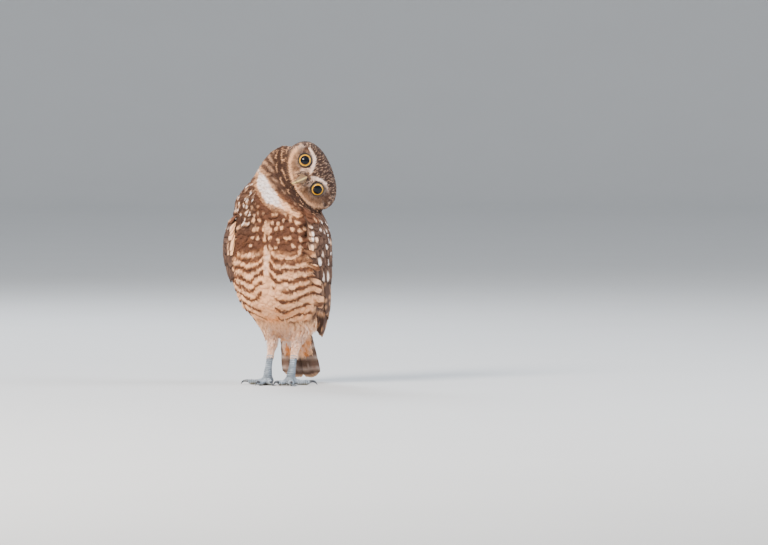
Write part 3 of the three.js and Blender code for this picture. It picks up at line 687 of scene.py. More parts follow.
class Fan(Vane):
    """A soft feather: locks of barbs that spread from one root, each a closed blade that ends in a point."""

    STOPS = ((0.0, 1.0), (0.6, 1.05), (0.83, 0.8))  # places along a lock, with how broad it is there
    ROUND_TIP = 0.22

    def __init__(self, lobes, outline, fringe, fill=1.3):
        self.fringe = fringe
        s, w, under, tip, faces = [], [], [], [], []
        for k in range(lobes):
            middle = (2 * k + 1) / lobes - 1
            start = len(s)
            longest = 1 - self.ROUND_TIP * middle**2
            for at, breadth in self.STOPS:
                broad = fill / lobes * breadth
                for offset, low in ((-broad, 0.0), (0.0, -0.55), (broad, 0.0)):
                    s.append(at * longest)
                    w.append(middle + offset)
                    under.append(low)
                    tip.append(False)
            s.append(longest)
            w.append(middle * 1.06)
            under.append(0.0)
            tip.append(True)
            a, b, c = start, start + 1, start + 2
            faces.append((a, c, b))
            for row in range(2):
                a, b, c = (start + 3 * row + i for i in range(3))
                d, e, f = a + 3, b + 3, c + 3
                faces += [(a, d, e), (a, e, b), (b, e, f), (b, f, c), (c, f, d), (c, d, a)]
            a, b, c, end = start + 6, start + 7, start + 8, start + 9
            faces += [(a, end, b), (b, end, c), (c, end, a)]
        self.s, self.w, self.under, self.tip = (np.array(v) for v in (s, w, under, tip))
        self.wide = np.interp(self.s, np.linspace(0, 1, len(outline)), outline)
        self.triangles = np.array(faces, np.int64)


BODY_FEATHER = Fan(8, [0.4, 0.85, 1.0, 1.0], 0.13)
NECK_FEATHER = Fan(6, [0.4, 0.85, 1.0, 0.95], 0.14)
FLUFF = Fan(6, [0.4, 0.8, 1.0, 1.15], 0.34, fill=0.9)
CROWN_FEATHER = Fan(3, [0.5, 1.0, 0.9], 0.16)
DOWN = Fan(3, [0.4, 0.9, 1.1], 0.3, fill=1.0)
TUFT = Fan(1, [0.7, 1.0, 0.9], 0.15, fill=1.0)
FLIGHT_VANE = Vane(14, 6, [0.3, 0.8, 0.95, 1.0, 1.0, 1.0, 1.0, 0.96, 0.74], 0.012, 0.075)
COVERT_VANE = Vane(7, 8, [0.4, 0.8, 1.0, 1.0, 0.94, 0.72], 0.09, 0.18)


# Skin

def cad_flesh():
    """Merged copies of the solids of flesh, each swollen a little so that they meet."""
    points, triangles, start = [], [], 0
    for name in FLESH:
        co, tri = points_and_triangles(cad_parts[name].data)
        _, first, back = np.unique(np.round(co, 3), axis=0, return_index=True, return_inverse=True)
        co, tri = co[first], back.ravel()[tri]
        swell = 0.2 if name.startswith(("toe", "foot")) else SWELL
        points.append(co + vertex_normals(co, tri) * swell)
        triangles.append(tri + start)
        start += len(co)
    middle, reach = np.array(MUZZLE)
    a, b = np.meshgrid(np.linspace(0.1, math.pi - 0.1, 12), circle(24), indexing="ij")
    ball = np.stack([np.sin(a) * np.cos(b), np.cos(a), np.sin(a) * np.sin(b)], -1)
    plug, faces = rings_closed(from_head((middle + reach * ball).reshape(-1, 3)).reshape(ball.shape))
    return np.concatenate([*points, plug]), np.concatenate([*triangles, faces + start])


def vertex_normals(points, triangles):
    p = points[triangles]
    face = np.cross(p[:, 1] - p[:, 0], p[:, 2] - p[:, 0])
    total = np.zeros_like(points)
    for axis in range(3):
        for corner in range(3):
            total[:, axis] += np.bincount(triangles[:, corner], face[:, axis], len(points))
    return unit(total)


def coat_depth(at):
    """How far the feathers stand off the skin."""
    z = at["z"]
    depth = mix(1.9, 1.7, at["neck"])
    depth = mix(depth, mix(1.2, 0.8, at["face"]), at["head"])
    depth = mix(depth, mix(0.7, 1.8, smooth(z, 30, 56)), at["legs"])
    return depth * smooth(z, BARE_BELOW - 1.5, BARE_BELOW + 3)


class Skin:
    """The owl's one skin: its points, triangles and normals, and the surface to root feathers on."""

    def __init__(self, voxel):
        obj = linked("rough", mesh_of("rough", *cad_flesh()))
        remesh = obj.modifiers.new("one skin", "REMESH")
        remesh.mode = "VOXEL"
        remesh.voxel_size = voxel
        done = baked_down(obj)
        points, self.triangles = points_and_triangles(done)
        edges = np.zeros(len(done.edges) * 2, np.int32)
        done.edges.foreach_get("vertices", edges)
        bpy.data.meshes.remove(done)
        points = self.relaxed(points, edges.reshape(-1, 2))
        at = places(points)
        normals = vertex_normals(points, self.triangles)
        inset = coat_depth(at) + np.where(at["z"] < 9, 0.2, SWELL)
        self.points = points - normals * inset[:, None]
        self.points[:, 2] = np.maximum(self.points[:, 2], 0.05)
        self.points = from_head(self.sockets(to_head(self.points)))
        self.normals = vertex_normals(self.points, self.triangles)
        self.tree = BVHTree.FromPolygons(self.points.tolist(), self.triangles.tolist())

    @staticmethod
    def sockets(q):
        """A shallow bowl round each eye, so that the whole iris shows."""
        rim = 10.5
        bowl = -(18.9 + 3.1 * smooth(from_eye(q), 6.8, rim))
        inside = (from_eye(q) < rim) & (q[:, 1] < bowl)
        q[:, 1] = np.where(inside, bowl, q[:, 1])
        return q

    @staticmethod
    def relaxed(points, edges):
        """The seams between the solids smoothed away, less on the face and feet."""
        at = places(points)
        seams = bell(at["tilt"], 9) * (at["z"] > 150) + (1 - at["head"]) * (at["beyond"] < 12)
        seams = np.clip(seams + (at["z"] > 54) * (at["z"] < 84), 0, 1)
        rate = mix(0.2, 0.6, seams) * (1 - 0.7 * at["head"]) * smooth(at["z"], 0, 12)
        rate = np.maximum(rate, 0.12)[:, None]
        ends = np.concatenate([edges, edges[:, ::-1]])
        here, there = ends.T
        count = np.maximum(np.bincount(here, minlength=len(points)), 1)[:, None]
        for _ in range(14):
            near = np.column_stack([np.bincount(here, points[there, k], len(points)) for k in range(3)])
            points = points + rate * (near / count - points)
        return points

    def nearest(self, points):
        """The nearest place on the skin to each point, and the skin's normal there."""
        found, normals = np.zeros_like(points), np.zeros_like(points)
        for i, point in enumerate(points):
            place, _, face, _ = self.tree.find_nearest(Vector(point))
            found[i] = place
            normals[i] = self.normals[self.triangles[face]].mean(0)
        return found, unit(normals)

    def roots(self, spacing, kept, seed):
        """Places spread over the skin, each at least its own spacing from the others."""
        corner = self.points[self.triangles]
        centre = corner.mean(1)
        gap = spacing(centre)
        area = np.linalg.norm(np.cross(corner[:, 1] - corner[:, 0], corner[:, 2] - corner[:, 0]), axis=1) / 2
        chance = np.where(kept(centre), 4.5 * area / gap**2, 0)
        dice = np.random.default_rng(seed)
        count = dice.poisson(chance)
        face = np.repeat(np.arange(len(centre)), count)
        dice.shuffle(face)
        a, b = dice.random((2, len(face), 1))
        over = a + b > 1
        a, b = np.where(over, 1 - a, a), np.where(over, 1 - b, b)
        c = corner[face]
        found = c[:, 0] * (1 - a - b) + c[:, 1] * a + c[:, 2] * b
        gap = gap[face]
        tree = KDTree(len(face))
        for i, place in enumerate(found):
            tree.insert(place, i)
        tree.balance()
        free = np.ones(len(face), bool)
        chosen = []
        for i, place in enumerate(found):
            if free[i]:
                chosen.append(i)
                for _, j, _ in tree.find_range(place, gap[i]):
                    free[j] = False
        chosen = np.array(chosen, int)
        return found[chosen], unit(self.normals[self.triangles[face[chosen]]].mean(1))


kept_skin = {}


def owl_skin():
    if "skin" not in kept_skin:
        kept_skin["skin"] = Skin(bpy.context.scene.owl_coat.voxel)
    return kept_skin["skin"]


# The coat

def lie(at, normals):
    """The way the feathers lie at each place: back from the bill, and down the neck, body and legs."""
    q = at["q"]
    from_bill = unit(q - np.array([0.0, -25.0, -7.0]))
    side = np.sign(q[:, 0])
    out = np.column_stack([q[:, 0] - side * EYE_SPACING / 2, np.zeros(len(q)), q[:, 2]])
    near_eye = bell(at["from_eye"] - 8, 9) * at["face"] * 0.75
    head_way = (from_bill * (1 - near_eye)[:, None] + unit(out) * near_eye[:, None]) @ HEAD_AXES.T
    a = np.radians(np.clip(at["tilt"], 0, 80))
    neck_way = np.column_stack([-np.sin(a), np.zeros(len(a)), -np.cos(a)]) @ TURN.T
    body_way = np.column_stack([0.12 * np.sin(at["round"]), np.full(len(a), 0.14), np.full(len(a), -1.0)])
    leg_way = np.tile([0.0, -0.12, -1.0], (len(a), 1))
    way = body_way + (neck_way - body_way) * at["neck"][:, None]
    way = way + (leg_way - way) * at["legs"][:, None]
    way = way + (head_way - way) * at["head"][:, None]
    return flat_on(way, normals)


def unwrapped(at):
    """Each place on an unwrap of the skin: the head, the neck, the body and each leg in a part of its own."""
    q, p = at["q"], at["p"]
    lon = np.arctan2(q[:, 0], -q[:, 1]) / (2 * math.pi) + 0.5
    lat = np.arctan2(q[:, 2], np.hypot(q[:, 0], q[:, 1])) / math.pi + 0.5
    around = at["round"] / (2 * math.pi) + 0.5
    head = np.column_stack([0.5 * lon, 0.5 * lat])
    neck = np.column_stack([0.5 + 0.5 * around, 0.5 * np.clip(at["tilt"], -10, 90) / 100 + 0.05])
    body = np.column_stack([0.75 * around, 0.5 + 0.5 * np.clip((at["z"] - 30) / 150, 0, 1)])
    leg_x = np.where(p[:, 0] > 0, 0.8, 0.9)
    leg_round = np.arctan2(p[:, 0] - np.where(p[:, 0] > 0, 12.5, -14), -(p[:, 1] - 12)) / (2 * math.pi) + 0.5
    leg = np.column_stack([leg_x + 0.09 * leg_round, 0.5 + 0.5 * np.clip((at["z"] - 20) / 60, 0, 1)])
    uv = np.where(at["neck"][:, None] > 0.5, neck, body)
    uv = np.where(at["legs"][:, None] > 0.5, leg, uv)
    uv = np.where(at["head"][:, None] > 0.5, head, uv)
    return np.clip(uv, 0.004, 0.996)


def coat(name, pattern, root, normal, way, length, half, lift, seed, material, jitter, slot_name="plumage",
         over=None):
    """Feathers of one kind as joined meshes, split where one would grow too heavy."""
    skin = owl_skin()
    dice = np.random.default_rng(seed)
    n = len(root)
    sideways = np.cross(normal, way)
    way = unit(way + sideways * (jitter * (dice.random((n, 1)) - 0.5)))
    length = length * dice.uniform(0.85, 1.15, n)
    half = half * dice.uniform(0.88, 1.12, n)
    reach = way * length[:, None]
    middle, middle_normal = skin.nearest(root + reach * 0.5)
    tip, tip_normal = skin.nearest(root + reach)
    if over:
        middle, tip = over_wings(middle, middle_normal, over), over_wings(tip, tip_normal, over)
    rise = lift * dice.uniform(0.75, 1.25, n)
    middle = middle + middle_normal * (0.62 * rise)[:, None]
    tip = tip + tip_normal * rise[:, None]
    start = root - normal * ROOT_DEPTH
    up = unit(normal + middle_normal)
    lean = dice.uniform(-7, 7, n)
    each = len(pattern.s)
    batches = max(1, math.ceil(n / (TOP_TRIANGLES // len(pattern.triangles))))
    order = np.argsort(root[:, 2], kind="stable")
    for k, rows in enumerate(np.array_split(order, batches)):
        ends = start[rows], middle[rows], tip[rows]
        points, s, w, triangles = pattern.lay(*ends, up[rows], half[rows], dice, tilt=lean[rows])
        wobble = np.repeat(dice.normal(0, 0.3, (len(rows), 3)), each, 0)
        paint = markings(points + wobble)
        # Painted shade: each feather is darkened towards its root, where its neighbours overlap it, less so on
        # pale feathers
        painted_root_shade = 0.28 * (1 - smooth(s, 0.35, 0.8)) * (1 - 0.6 * paint[:, 0])
        own_shade = np.repeat(dice.uniform(-0.07, 0.07, (len(rows), 1)), each, 0)
        paint = laid(paint, painted_root_shade, 0.1, 0.6, 0.4) + own_shade
        long_mm, half_mm = np.repeat(length[rows], each), np.repeat(half[rows], each)
        number = np.repeat(dice.random(len(rows)) * 40, each)
        dressed(name if batches == 1 else f"{name}_{k + 1}", points, triangles, paint, material, slot_name,
                OFBake=baked_patch(unwrapped(places(root[rows])), s, w, each),
                barbs=np.column_stack([w * half_mm + 100, s * long_mm + number * 20]))


def baked_patch(centre, s, w, each):
    spread = np.column_stack([w * 0.5, s - 0.5]) * PATCH
    return np.repeat(centre, each, 0) + spread


def wing_edge(p, t):
    """The outer face of the wing at the height of each place, at t from its front edge to its back edge."""
    return wing_face(np.full(len(p), float(t)), np.clip(p[:, 2], 46, 174))


def under_wing(p):
    """True where a folded wing hides the body."""
    inside = (p[:, 1] > wing_edge(p, 0)[:, 1] + 13) & (np.abs(p[:, 0]) > wing_edge(p, 1)[:, 0] + 5)
    return inside & (p[:, 2] < 164) & (p[:, 2] > 70)


def near_holes(p):
    """True at the eyes and the bill, where nothing grows."""
    at = places(p)
    q = at["q"]
    front = (q[:, 1] < -6) & (at["head"] > 0.5)
    eye = front & (at["from_eye"] < 7.1)
    beside_bill = np.abs(q[:, 0]) < 3.0 + 0.18 * (q[:, 2] + 7)
    return eye | (front & beside_bill & (q[:, 2] < -7.0) & (q[:, 2] > -19))


# Materials

class Shade:
    """A socket of a material, written in arithmetic."""

    def __init__(self, paint, socket):
        self.paint, self.socket = paint, socket

    def worked(self, operation, *values):
        made = self.paint.node("ShaderNodeMath", {"operation": operation}, *values)
        return Shade(self.paint, made.outputs[0])

    def __add__(self, other):
        return self.worked("ADD", self, other)

    def __sub__(self, other):
        return self.worked("SUBTRACT", self, other)

    def __mul__(self, other):
        return self.worked("MULTIPLY", self, other)

    def __rsub__(self, other):
        return self.worked("SUBTRACT", other, self)

    __radd__ = __add__
    __rmul__ = __mul__

    def between(self, low, high, first=0.0, last=1.0):
        """Smoothly from the first value to the last, as the socket goes from low to high."""
        settings = {"interpolation_type": "SMOOTHSTEP"}
        made = self.paint.node("ShaderNodeMapRange", settings, self, low, high, first, last)
        return Shade(self.paint, made.outputs[0])


class Nodes:
    """Makes the nodes of a tree, each with its settings and with what its inputs are given."""

    def node(self, kind, settings=None, *values, **named):
        made = self.tree.nodes.new(kind)
        for key, value in (settings or {}).items():
            setattr(made, key, value)
        for key, value in [*enumerate(values), *named.items()]:
            self.feed(made.inputs[key if isinstance(key, int) else key.replace("_", " ")], value)
        return made

    def feed(self, socket, value):
        if isinstance(value, Shade):
            value = value.socket
        if isinstance(value, bpy.types.NodeSocket):
            self.tree.links.new(value, socket)
        elif value is not None:
            socket.default_value = value


class Finish(Nodes):
    """A material and the nodes it is made of."""

    def __init__(self, name):
        self.material = bpy.data.materials.new(name)
        self.material.use_nodes = True
        self.tree = self.material.node_tree
        self.tree.nodes.clear()

    def attribute(self, name):
        """The three parts of a colour that the mesh carries."""
        made = self.node("ShaderNodeAttribute", {"attribute_name": name})
        parts = self.node("ShaderNodeSeparateColor", None, made.outputs["Color"])
        return [Shade(self, out) for out in parts.outputs]

    def place(self, uv=None, scale=(1, 1, 1)):
        """The place on the owl in metres, or on one of its UV maps."""
        if uv:
            source = self.node("ShaderNodeUVMap", {"uv_map": uv}).outputs[0]
        else:
            source = self.node("ShaderNodeTexCoord").outputs["Object"]
        return self.node("ShaderNodeVectorMath", {"operation": "MULTIPLY"}, source, scale).outputs[0]

    def noise(self, place, scale, detail, rough=0.5):
        sizes = {"Scale": scale, "Detail": detail, "Roughness": rough}
        return Shade(self, self.node("ShaderNodeTexNoise", None, Vector=place, **sizes).outputs[0])

    def cell_edges(self, place, scale):
        """How far each place is from the edges between scales."""
        made = self.node("ShaderNodeTexVoronoi", {"feature": "DISTANCE_TO_EDGE"}, Vector=place, Scale=scale)
        return Shade(self, made.outputs["Distance"])

    def height(self, place):
        return Shade(self, self.node("ShaderNodeSeparateXYZ", None, place).outputs[2])

    def mixed(self, share, a, b):
        """One colour into another; either is a socket, three numbers or the name of a setting."""
        made = self.node("ShaderNodeMix", {"data_type": "RGBA"}, Factor=share)
        self.feed(made.inputs[6], colour(a))
        self.feed(made.inputs[7], colour(b))
        return made.outputs[2]

    def brightened(self, tint, value):
        """A colour made lighter or darker by a number about 1."""
        return self.node("ShaderNodeVectorMath", {"operation": "SCALE"}, tint, Scale=value).outputs[0]

    def bump(self, height, strength, distance):
        made = self.node("ShaderNodeBump", None, Strength=strength, Distance=distance, Height=height)
        return made.outputs[0]

    def finish(self, tint, rough, normal=None, **more):
        inputs = {"Base Color": tint, "Roughness": rough, "Normal": normal, **more}
        shader = self.node("ShaderNodeBsdfPrincipled", None, **inputs)
        self.node("ShaderNodeOutputMaterial", None, shader.outputs[0])
        return self.material


def colour(value):
    if isinstance(value, str):
        value = tuple(getattr(bpy.context.scene.owl_colours, value))
    return (*value, 1.0) if isinstance(value, tuple) else value


def feather_tint(made, pale, dark, warm):
    """Brown, cream, rust and near black, mixed as the markings say."""
    brown = made.mixed(warm, "brown", "red_brown")
    light = made.mixed(warm.between(0.0, 0.5), "white", "cream")
    light = made.mixed(warm.between(0.5, 1.0), light, "rust")
    return made.mixed(dark, made.mixed(pale, brown, light), "dark")


def plumage_finish(name, streak=1.0):
    """Feathers: barbs that run out from the shaft, and soft changes of shade along each vane."""
    made = Finish(name)
    pale, dark, warm = made.attribute("markings")
    at = made.place("barbs")
    barbs = made.noise(made.place("barbs", (3.2, 0.5, 1)), 1.0, 2.0, 0.6)
    soft = made.noise(at, 0.35, 1.0)
    pale = pale + (barbs - 0.5) * 0.16 * streak
    tint = feather_tint(made, pale.between(0.04, 0.96), dark, warm)
    tint = made.brightened(tint, 0.8 + (barbs * 0.28 + soft * 0.16) * streak)
    return made.finish(tint, 0.72 + barbs * 0.2, made.bump(barbs, 0.35, 0.0002), Specular_IOR_Level=0.18)


def scaly_tint(made, place, blotch, thick, share):
    """Blue-grey scales in two shades, and the browner soles down at the floor."""
    under = (made.height(place) + (blotch - 0.5) * 0.003).between(*thick, 1.0, 0.0)
    tint = made.mixed(blotch.between(0.35, 0.7), "leg_dark", "leg")
    return made.mixed(under * share, tint, "sole")


def skin_finish(name):
    """The skin: the coat's markings where feathers grow, and blue-grey scales on the bare feet."""
    made = Finish(name)
    pale, dark, warm = made.attribute("markings")
    place = made.place()
    ragged = made.noise(place, 900.0, 2.0)
    edge, soft = BARE_BELOW * MM, 0.0012
    bare = (made.height(place) + (ragged - 0.5) * 0.004).between(edge - soft, edge + soft, 1.0, 0.0)
    speck = made.noise(place, 1400.0, 3.0)
    coat_tint = made.brightened(feather_tint(made, pale, dark, warm), 0.6 + speck * 0.25)
    scale_edge = made.cell_edges(place, 1150.0)
    leg = scaly_tint(made, place, made.noise(place, 160.0, 3.0), (0.0005, 0.0032), 0.75)
    leg = made.brightened(leg, scale_edge.between(0.0, 0.14, 0.45, 0.85))
    bump = made.bump(scale_edge.between(0.0, 0.25) * bare + speck * 0.2, 0.6, 0.0003)
    return made.finish(made.mixed(bare, coat_tint, leg), 0.78 - bare * 0.25, bump)


def scute_finish(name):
    made = Finish(name)
    place = made.place()
    speck = made.noise(place, 1600.0, 3.0)
    tint = scaly_tint(made, place, made.noise(place, 180.0, 3.0), (0.0004, 0.003), 0.7)
    tint = made.brightened(tint, 0.9 + speck * 0.3)
    return made.finish(tint, 0.48 + speck * 0.2, made.bump(speck, 0.4, 0.00012))


def horn_finish(name, base, tip, rough, shine):
    """Streaky horn, from one colour to the other as the markings' red says."""
    made = Finish(name)
    share = made.attribute("markings")[0]
    streaks = made.noise(made.place(None, (1, 1, 0.3)), 900.0, 3.0)
    cloud = made.noise(made.place(), 260.0, 2.0)
    tint = made.mixed((share + (cloud - 0.5) * 0.3).between(0.0, 1.0), base, tip)
    tint = made.brightened(tint, 0.86 + streaks * 0.28)
    return made.finish(tint, rough + streaks * 0.12, made.bump(streaks, 0.25, 0.0001), Coat_Weight=shine,
                       Coat_Roughness=0.18)


def eye_finish(name):
    """The eye: red says how far out from its middle a place is, in centimetres, and green how far round."""
    made = Finish(name)
    out, around, _ = made.attribute("markings")
    cloud = made.noise(made.place(), 1100.0, 3.0)
    way = made.node("ShaderNodeCombineXYZ", None, around * 60.0, out * 6.0, 0.0).outputs[0]
    rays = made.noise(way, 1.0, 2.0)
    pupil, iris = PUPIL_RADIUS / 10, IRIS_RADIUS / 10
    tint = made.mixed((out + (rays - 0.5) * 0.05).between(pupil, iris), "iris_inner", "iris")
    tint = made.brightened(tint, 0.82 + rays * 0.3 + cloud * 0.08)
    tint = made.mixed(out.between(pupil - 0.012, pupil + 0.008, 1.0, 0.0), tint, "pupil")
    tint = made.mixed(out.between(iris - 0.03, iris + 0.02), tint, "lid")
    return made.finish(tint, 0.12 + cloud * 0.05, Coat_Weight=0.25, Coat_Roughness=0.02,
                       Specular_IOR_Level=0.1)


def lid_finish(name):
    """Dark bare skin, finely folded."""
    made = Finish(name)
    fold = made.noise(made.place(), 1500.0, 3.0)
    tint = made.brightened(made.mixed(fold, "lid", "dark"), 0.8 + fold * 0.5)
    return made.finish(tint, 0.5 + fold * 0.2, made.bump(fold, 0.5, 0.0002))


# Settings

def tone(label, value, text):
    return FloatVectorProperty(name=label, description=text, default=value, subtype="COLOR", size=3, min=0,
                               max=1)


def length_of(label, value, text):
    return FloatProperty(name=label, description=text, default=value, min=0, unit="LENGTH",
                         subtype="DISTANCE", precision=4)


class OWL_PG_coat(PropertyGroup):
    voxel: length_of("Skin detail", 0.001, "Grain of the skin's mesh")
    body_gap: length_of("Body spacing", 0.0024, "From one body feather to the next")
    body_length: length_of("Body feather", 0.0108, "Length of a body feather")
    body_half: length_of("Body half width", 0.0033, "Half the width of a body feather")
    neck_gap: length_of("Neck spacing", 0.0019, "From one neck feather to the next")
    neck_length: length_of("Neck feather", 0.0084, "Length of a neck feather")
    neck_half: length_of("Neck half width", 0.0023, "Half the width of a neck feather")
    crown_gap: length_of("Crown spacing", 0.00125, "From one crown feather to the next")
    crown_length: length_of("Crown feather", 0.0052, "Length of a crown feather")
    crown_half: length_of("Crown half width", 0.0011, "Half the width of a crown feather")
    face_gap: length_of("Face spacing", 0.00078, "From one tuft of the face to the next")
    face_length: length_of("Face tuft", 0.0036, "Length of a tuft of the face")
    face_half: length_of("Face half width", 0.0005, "Half the width of a tuft of the face")
    leg_gap: length_of("Leg spacing", 0.0012, "From one tuft of the legs to the next")
    leg_length: length_of("Leg tuft", 0.0082, "Length of a tuft of the legs")
    leg_half: length_of("Leg half width", 0.0010, "Half the width of a tuft of the legs")
    seed: IntProperty(name="Seed", description="Start of every random draw", default=11, min=0)


class OWL_PG_colours(PropertyGroup):
    brown: tone("Brown", (0.060, 0.035, 0.026), "Cool brown of the wings and breast")
    red_brown: tone("Red-brown", (0.155, 0.06, 0.032), "Warm brown of the bars")
    white: tone("White", (0.93, 0.83, 0.80), "Throat, brows and spots")
    cream: tone("Cream", (1.0, 0.56, 0.31), "Belly and legs")
    rust: tone("Rust", (0.82, 0.28, 0.07), "Warm fluff and edges")
    dark: tone("Dark", (0.011, 0.008, 0.008), "Darkest feathers")
    leg: tone("Leg", (0.36, 0.41, 0.47), "Bare legs and toes")
    leg_dark: tone("Leg shade", (0.17, 0.20, 0.235), "Darker scales")
    sole: tone("Sole", (0.20, 0.16, 0.07), "Undersides of the toes")
    claw: tone("Claw", (0.022, 0.026, 0.034), "Claws")
    claw_base: tone("Claw base", (0.10, 0.11, 0.12), "Roots of the claws")
    bill: tone("Bill", (0.20, 0.115, 0.058), "Sides of the bill")
    bill_ridge: tone("Bill ridge", (0.60, 0.42, 0.15), "Ridge and tip of the bill")
    iris: tone("Iris", (0.76, 0.40, 0.008), "Outer part of the iris")
    iris_inner: tone("Inner iris", (0.62, 0.26, 0.006), "Round the pupil")
    pupil: tone("Pupil", (0.004, 0.005, 0.007), "Middle of the eye")
    lid: tone("Lid", (0.035, 0.028, 0.024), "Bare rims of the lids")


class OWL_PG_feet(PropertyGroup):
    scute_gap: length_of("Scute spacing", 0.0019, "From one scute to the next")
    scute_half: length_of("Scute half length", 0.00098, "Half of one scute along the toe")
    bristle: length_of("Bristle", 0.00011, "Half the thickness of a bristle at the bill")
    claw_sides: IntProperty(name="Claw sides", description="Faces round a claw", default=20, min=8)


class OWL_PG_stage(PropertyGroup):
    azimuth: FloatProperty(name="Azimuth", description="Way round to the camera, in degrees", default=17.0)
    elevation: FloatProperty(name="Elevation", description="Camera's height angle, in degrees", default=2.0)
    distance: length_of("Distance", 6.0, "From the camera to the owl")
    lens: FloatProperty(name="Lens", description="Focal length", default=281.25, unit="CAMERA")
    across: length_of("Across", 0.105, "How far right of the legs the view is centred")
    up: length_of("Up", 0.1125, "How far above the floor the view is centred")
    floor: tone("Floor", (0.62, 0.62, 0.62), "Floor and backdrop")
    key: FloatProperty(name="Key", description="Main light", default=150.0, unit="POWER")
    fill: FloatProperty(name="Fill", description="Cool side light", default=45.0, unit="POWER")


# Pieces

class OWL_OT_skin(Operator):
    """One skin over the body, neck, head, legs and feet"""
    bl_idname = "owl.skin"
    bl_label = "Skin"

    def execute(self, context):
        skin = owl_skin()
        paint = markings(skin.points)
        dressed("skin", skin.points, skin.triangles, paint, skin_finish("owl skin"), "plumage", *FLESH)
        return {"FINISHED"}


def zone_lift(at):
    """How far feather tips stand off the skin."""
    lift = mix(1.35, 1.8, at["neck"])
    lift = mix(lift, mix(1.05, 0.6, at["face"]), at["head"])
    on_legs = np.maximum(at["legs"], 1 - smooth(at["z"], 68, 74))
    lift = mix(lift, mix(0.6, 3.0, smooth(at["z"], 30, 56)), on_legs)
    return lift + 4.0 * smooth(at["p"][:, 0], 12, 22) * bell(at["z"] - 64, 11)


def grow(name, kind, pattern, zone, step, slot_name="plumage", scale=None, jitter=0.35):
    """One kind of feather over one zone, in the sizes that the settings give."""
    skin, size = owl_skin(), bpy.context.scene.owl_coat
    gap, length, half = (getattr(size, f"{kind}_{part}") for part in ("gap", "length", "half"))

    def spacing(p):
        return np.full(len(p), gap / MM) * (scale(places(p)) if scale else 1.0)

    def kept(p):
        return zone(places(p)) & ~under_wing(p) & ~near_holes(p) & (p[:, 2] > BARE_BELOW + 0.5)

    root, normal = skin.roots(spacing, kept, size.seed + step)
    at = places(root)
    sized = scale(at) if scale else np.ones(len(root))
    material = plumage_finish(f"{kind} feathers")
    coat(name, pattern, root, normal, lie(at, normal), sized * length / MM, sized * half / MM,
         zone_lift(at) * sized**0.5, size.seed + step + 1, material, jitter, slot_name)


def on_body(at):
    return (at["head"] < 0.5) & (at["neck"] < 0.5) & ~on_down(at)


def on_down(at):
    """The legs, and the belly's soft low end."""
    return ((at["legs"] >= 0.5) | (at["z"] < 71)) & (at["head"] < 0.5)


class OWL_OT_body_coat(Operator):
    """Feathers of the breast, belly and back"""
    bl_idname = "owl.body_coat"
    bl_label = "Body feathers"

    def execute(self, context):
        def scale(at):
            return mix(0.78, 1.1, smooth(at["z"], 60, 110)) * mix(1, 0.9, smooth(at["z"], 150, 170))

        grow("coat_body", "body", BODY_FEATHER, on_body, 0, scale=scale)
        return {"FINISHED"}


def wing_sheets():
    """Both wings' outer faces, to lay the body's feathers over."""
    t, z = np.meshgrid(np.linspace(0, 1, 24), np.linspace(48, 178, 60))
    sheet = wing_face(t, z, np.full(t.shape, 0.9)).reshape(-1, 3)
    triangles = grid(*t.shape)
    points, triangles = joined([(sheet, triangles), (sheet * [-1, 1, 1], triangles)])
    return BVHTree.FromPolygons(points.tolist(), triangles.tolist())


def over_wings(points, normals, tree):
    """Each place brought out on to the wing where the wing stands outside it."""
    reach = 16
    out = points.copy()
    for i, (point, normal) in enumerate(zip(points, normals)):
        hit = tree.ray_cast(Vector(point + normal * reach), Vector(-normal), reach)[0]
        if hit is not None and np.linalg.norm(np.array(hit) - point) < reach - 1:
            out[i] = np.array(hit) + normal * 0.5
    return out


class OWL_OT_edge_coat(Operator):
    """Breast feathers that meet or overlap the front edges of the wings"""
    bl_idname = "owl.edge_coat"
    bl_label = "Edge feathers"

    def execute(self, context):
        size, skin = context.scene.owl_coat, owl_skin()

        def kept(p):
            left, z = p[:, 0] > 0, p[:, 2]
            ahead = wing_edge(p, 0)[:, 1] - p[:, 1]
            by_edge = (ahead > np.where(left, -1, -6)) & (ahead < 7) & (np.abs(p[:, 0]) > 18)
            return by_edge & (z > 84) & (z < np.where(left, 169, 179)) & (places(p)["head"] < 0.3)

        root, normal = skin.roots(lambda p: np.full(len(p), 2.3), kept, size.seed + 140)
        material = plumage_finish("edge feathers")
        dice = np.random.default_rng(size.seed + 142)
        for side, over, lift in (("left", wing_sheets(), 0.9), ("right", None, 3.4)):
            chosen = root[:, 0] * SIDES[side] > 0
            start, up = root[chosen], normal[chosen]
            outward = np.sign(start[:, 0]) * (0.6 if over else 0.3)
            ones = np.ones(len(start))
            way = flat_on(np.column_stack([outward, (0.8 if over else 0.42) * ones, -ones]), up)
            length = dice.uniform(8.5, 14.5, len(start))
            coat(f"coat_edge_{side}", BODY_FEATHER, start, up, way, length, 3.0 * ones, lift * ones,
                 size.seed + 141, material, 0.8, over=over)
        return {"FINISHED"}


class OWL_OT_neck_coat(Operator):
    """Feathers of the throat, collar and neck"""
    bl_idname = "owl.neck_coat"
    bl_label = "Neck feathers"

    def execute(self, context):
        grow("coat_neck", "neck", NECK_FEATHER, lambda at: (at["neck"] >= 0.5) & (at["head"] < 0.5), 20,
             scale=lambda at: mix(0.72, 1.05, smooth(at["beyond"], 2, 22)))
        return {"FINISHED"}


class OWL_OT_head_coat(Operator):
    """Feathers of the crown, and the fine tufts of the face"""
    bl_idname = "owl.head_coat"
    bl_label = "Head feathers"

    def execute(self, context):
        grow("coat_crown", "crown", CROWN_FEATHER, lambda at: (at["head"] >= 0.5) & (at["face"] < 0.55), 40)
        grow("coat_face", "face", TUFT, lambda at: (at["head"] >= 0.5) & (at["face"] >= 0.55), 60, "face",
             scale=lambda at: mix(0.85, 1.35, smooth(at["from_eye"], 9, 20)), jitter=0.5)
        return {"FINISHED"}


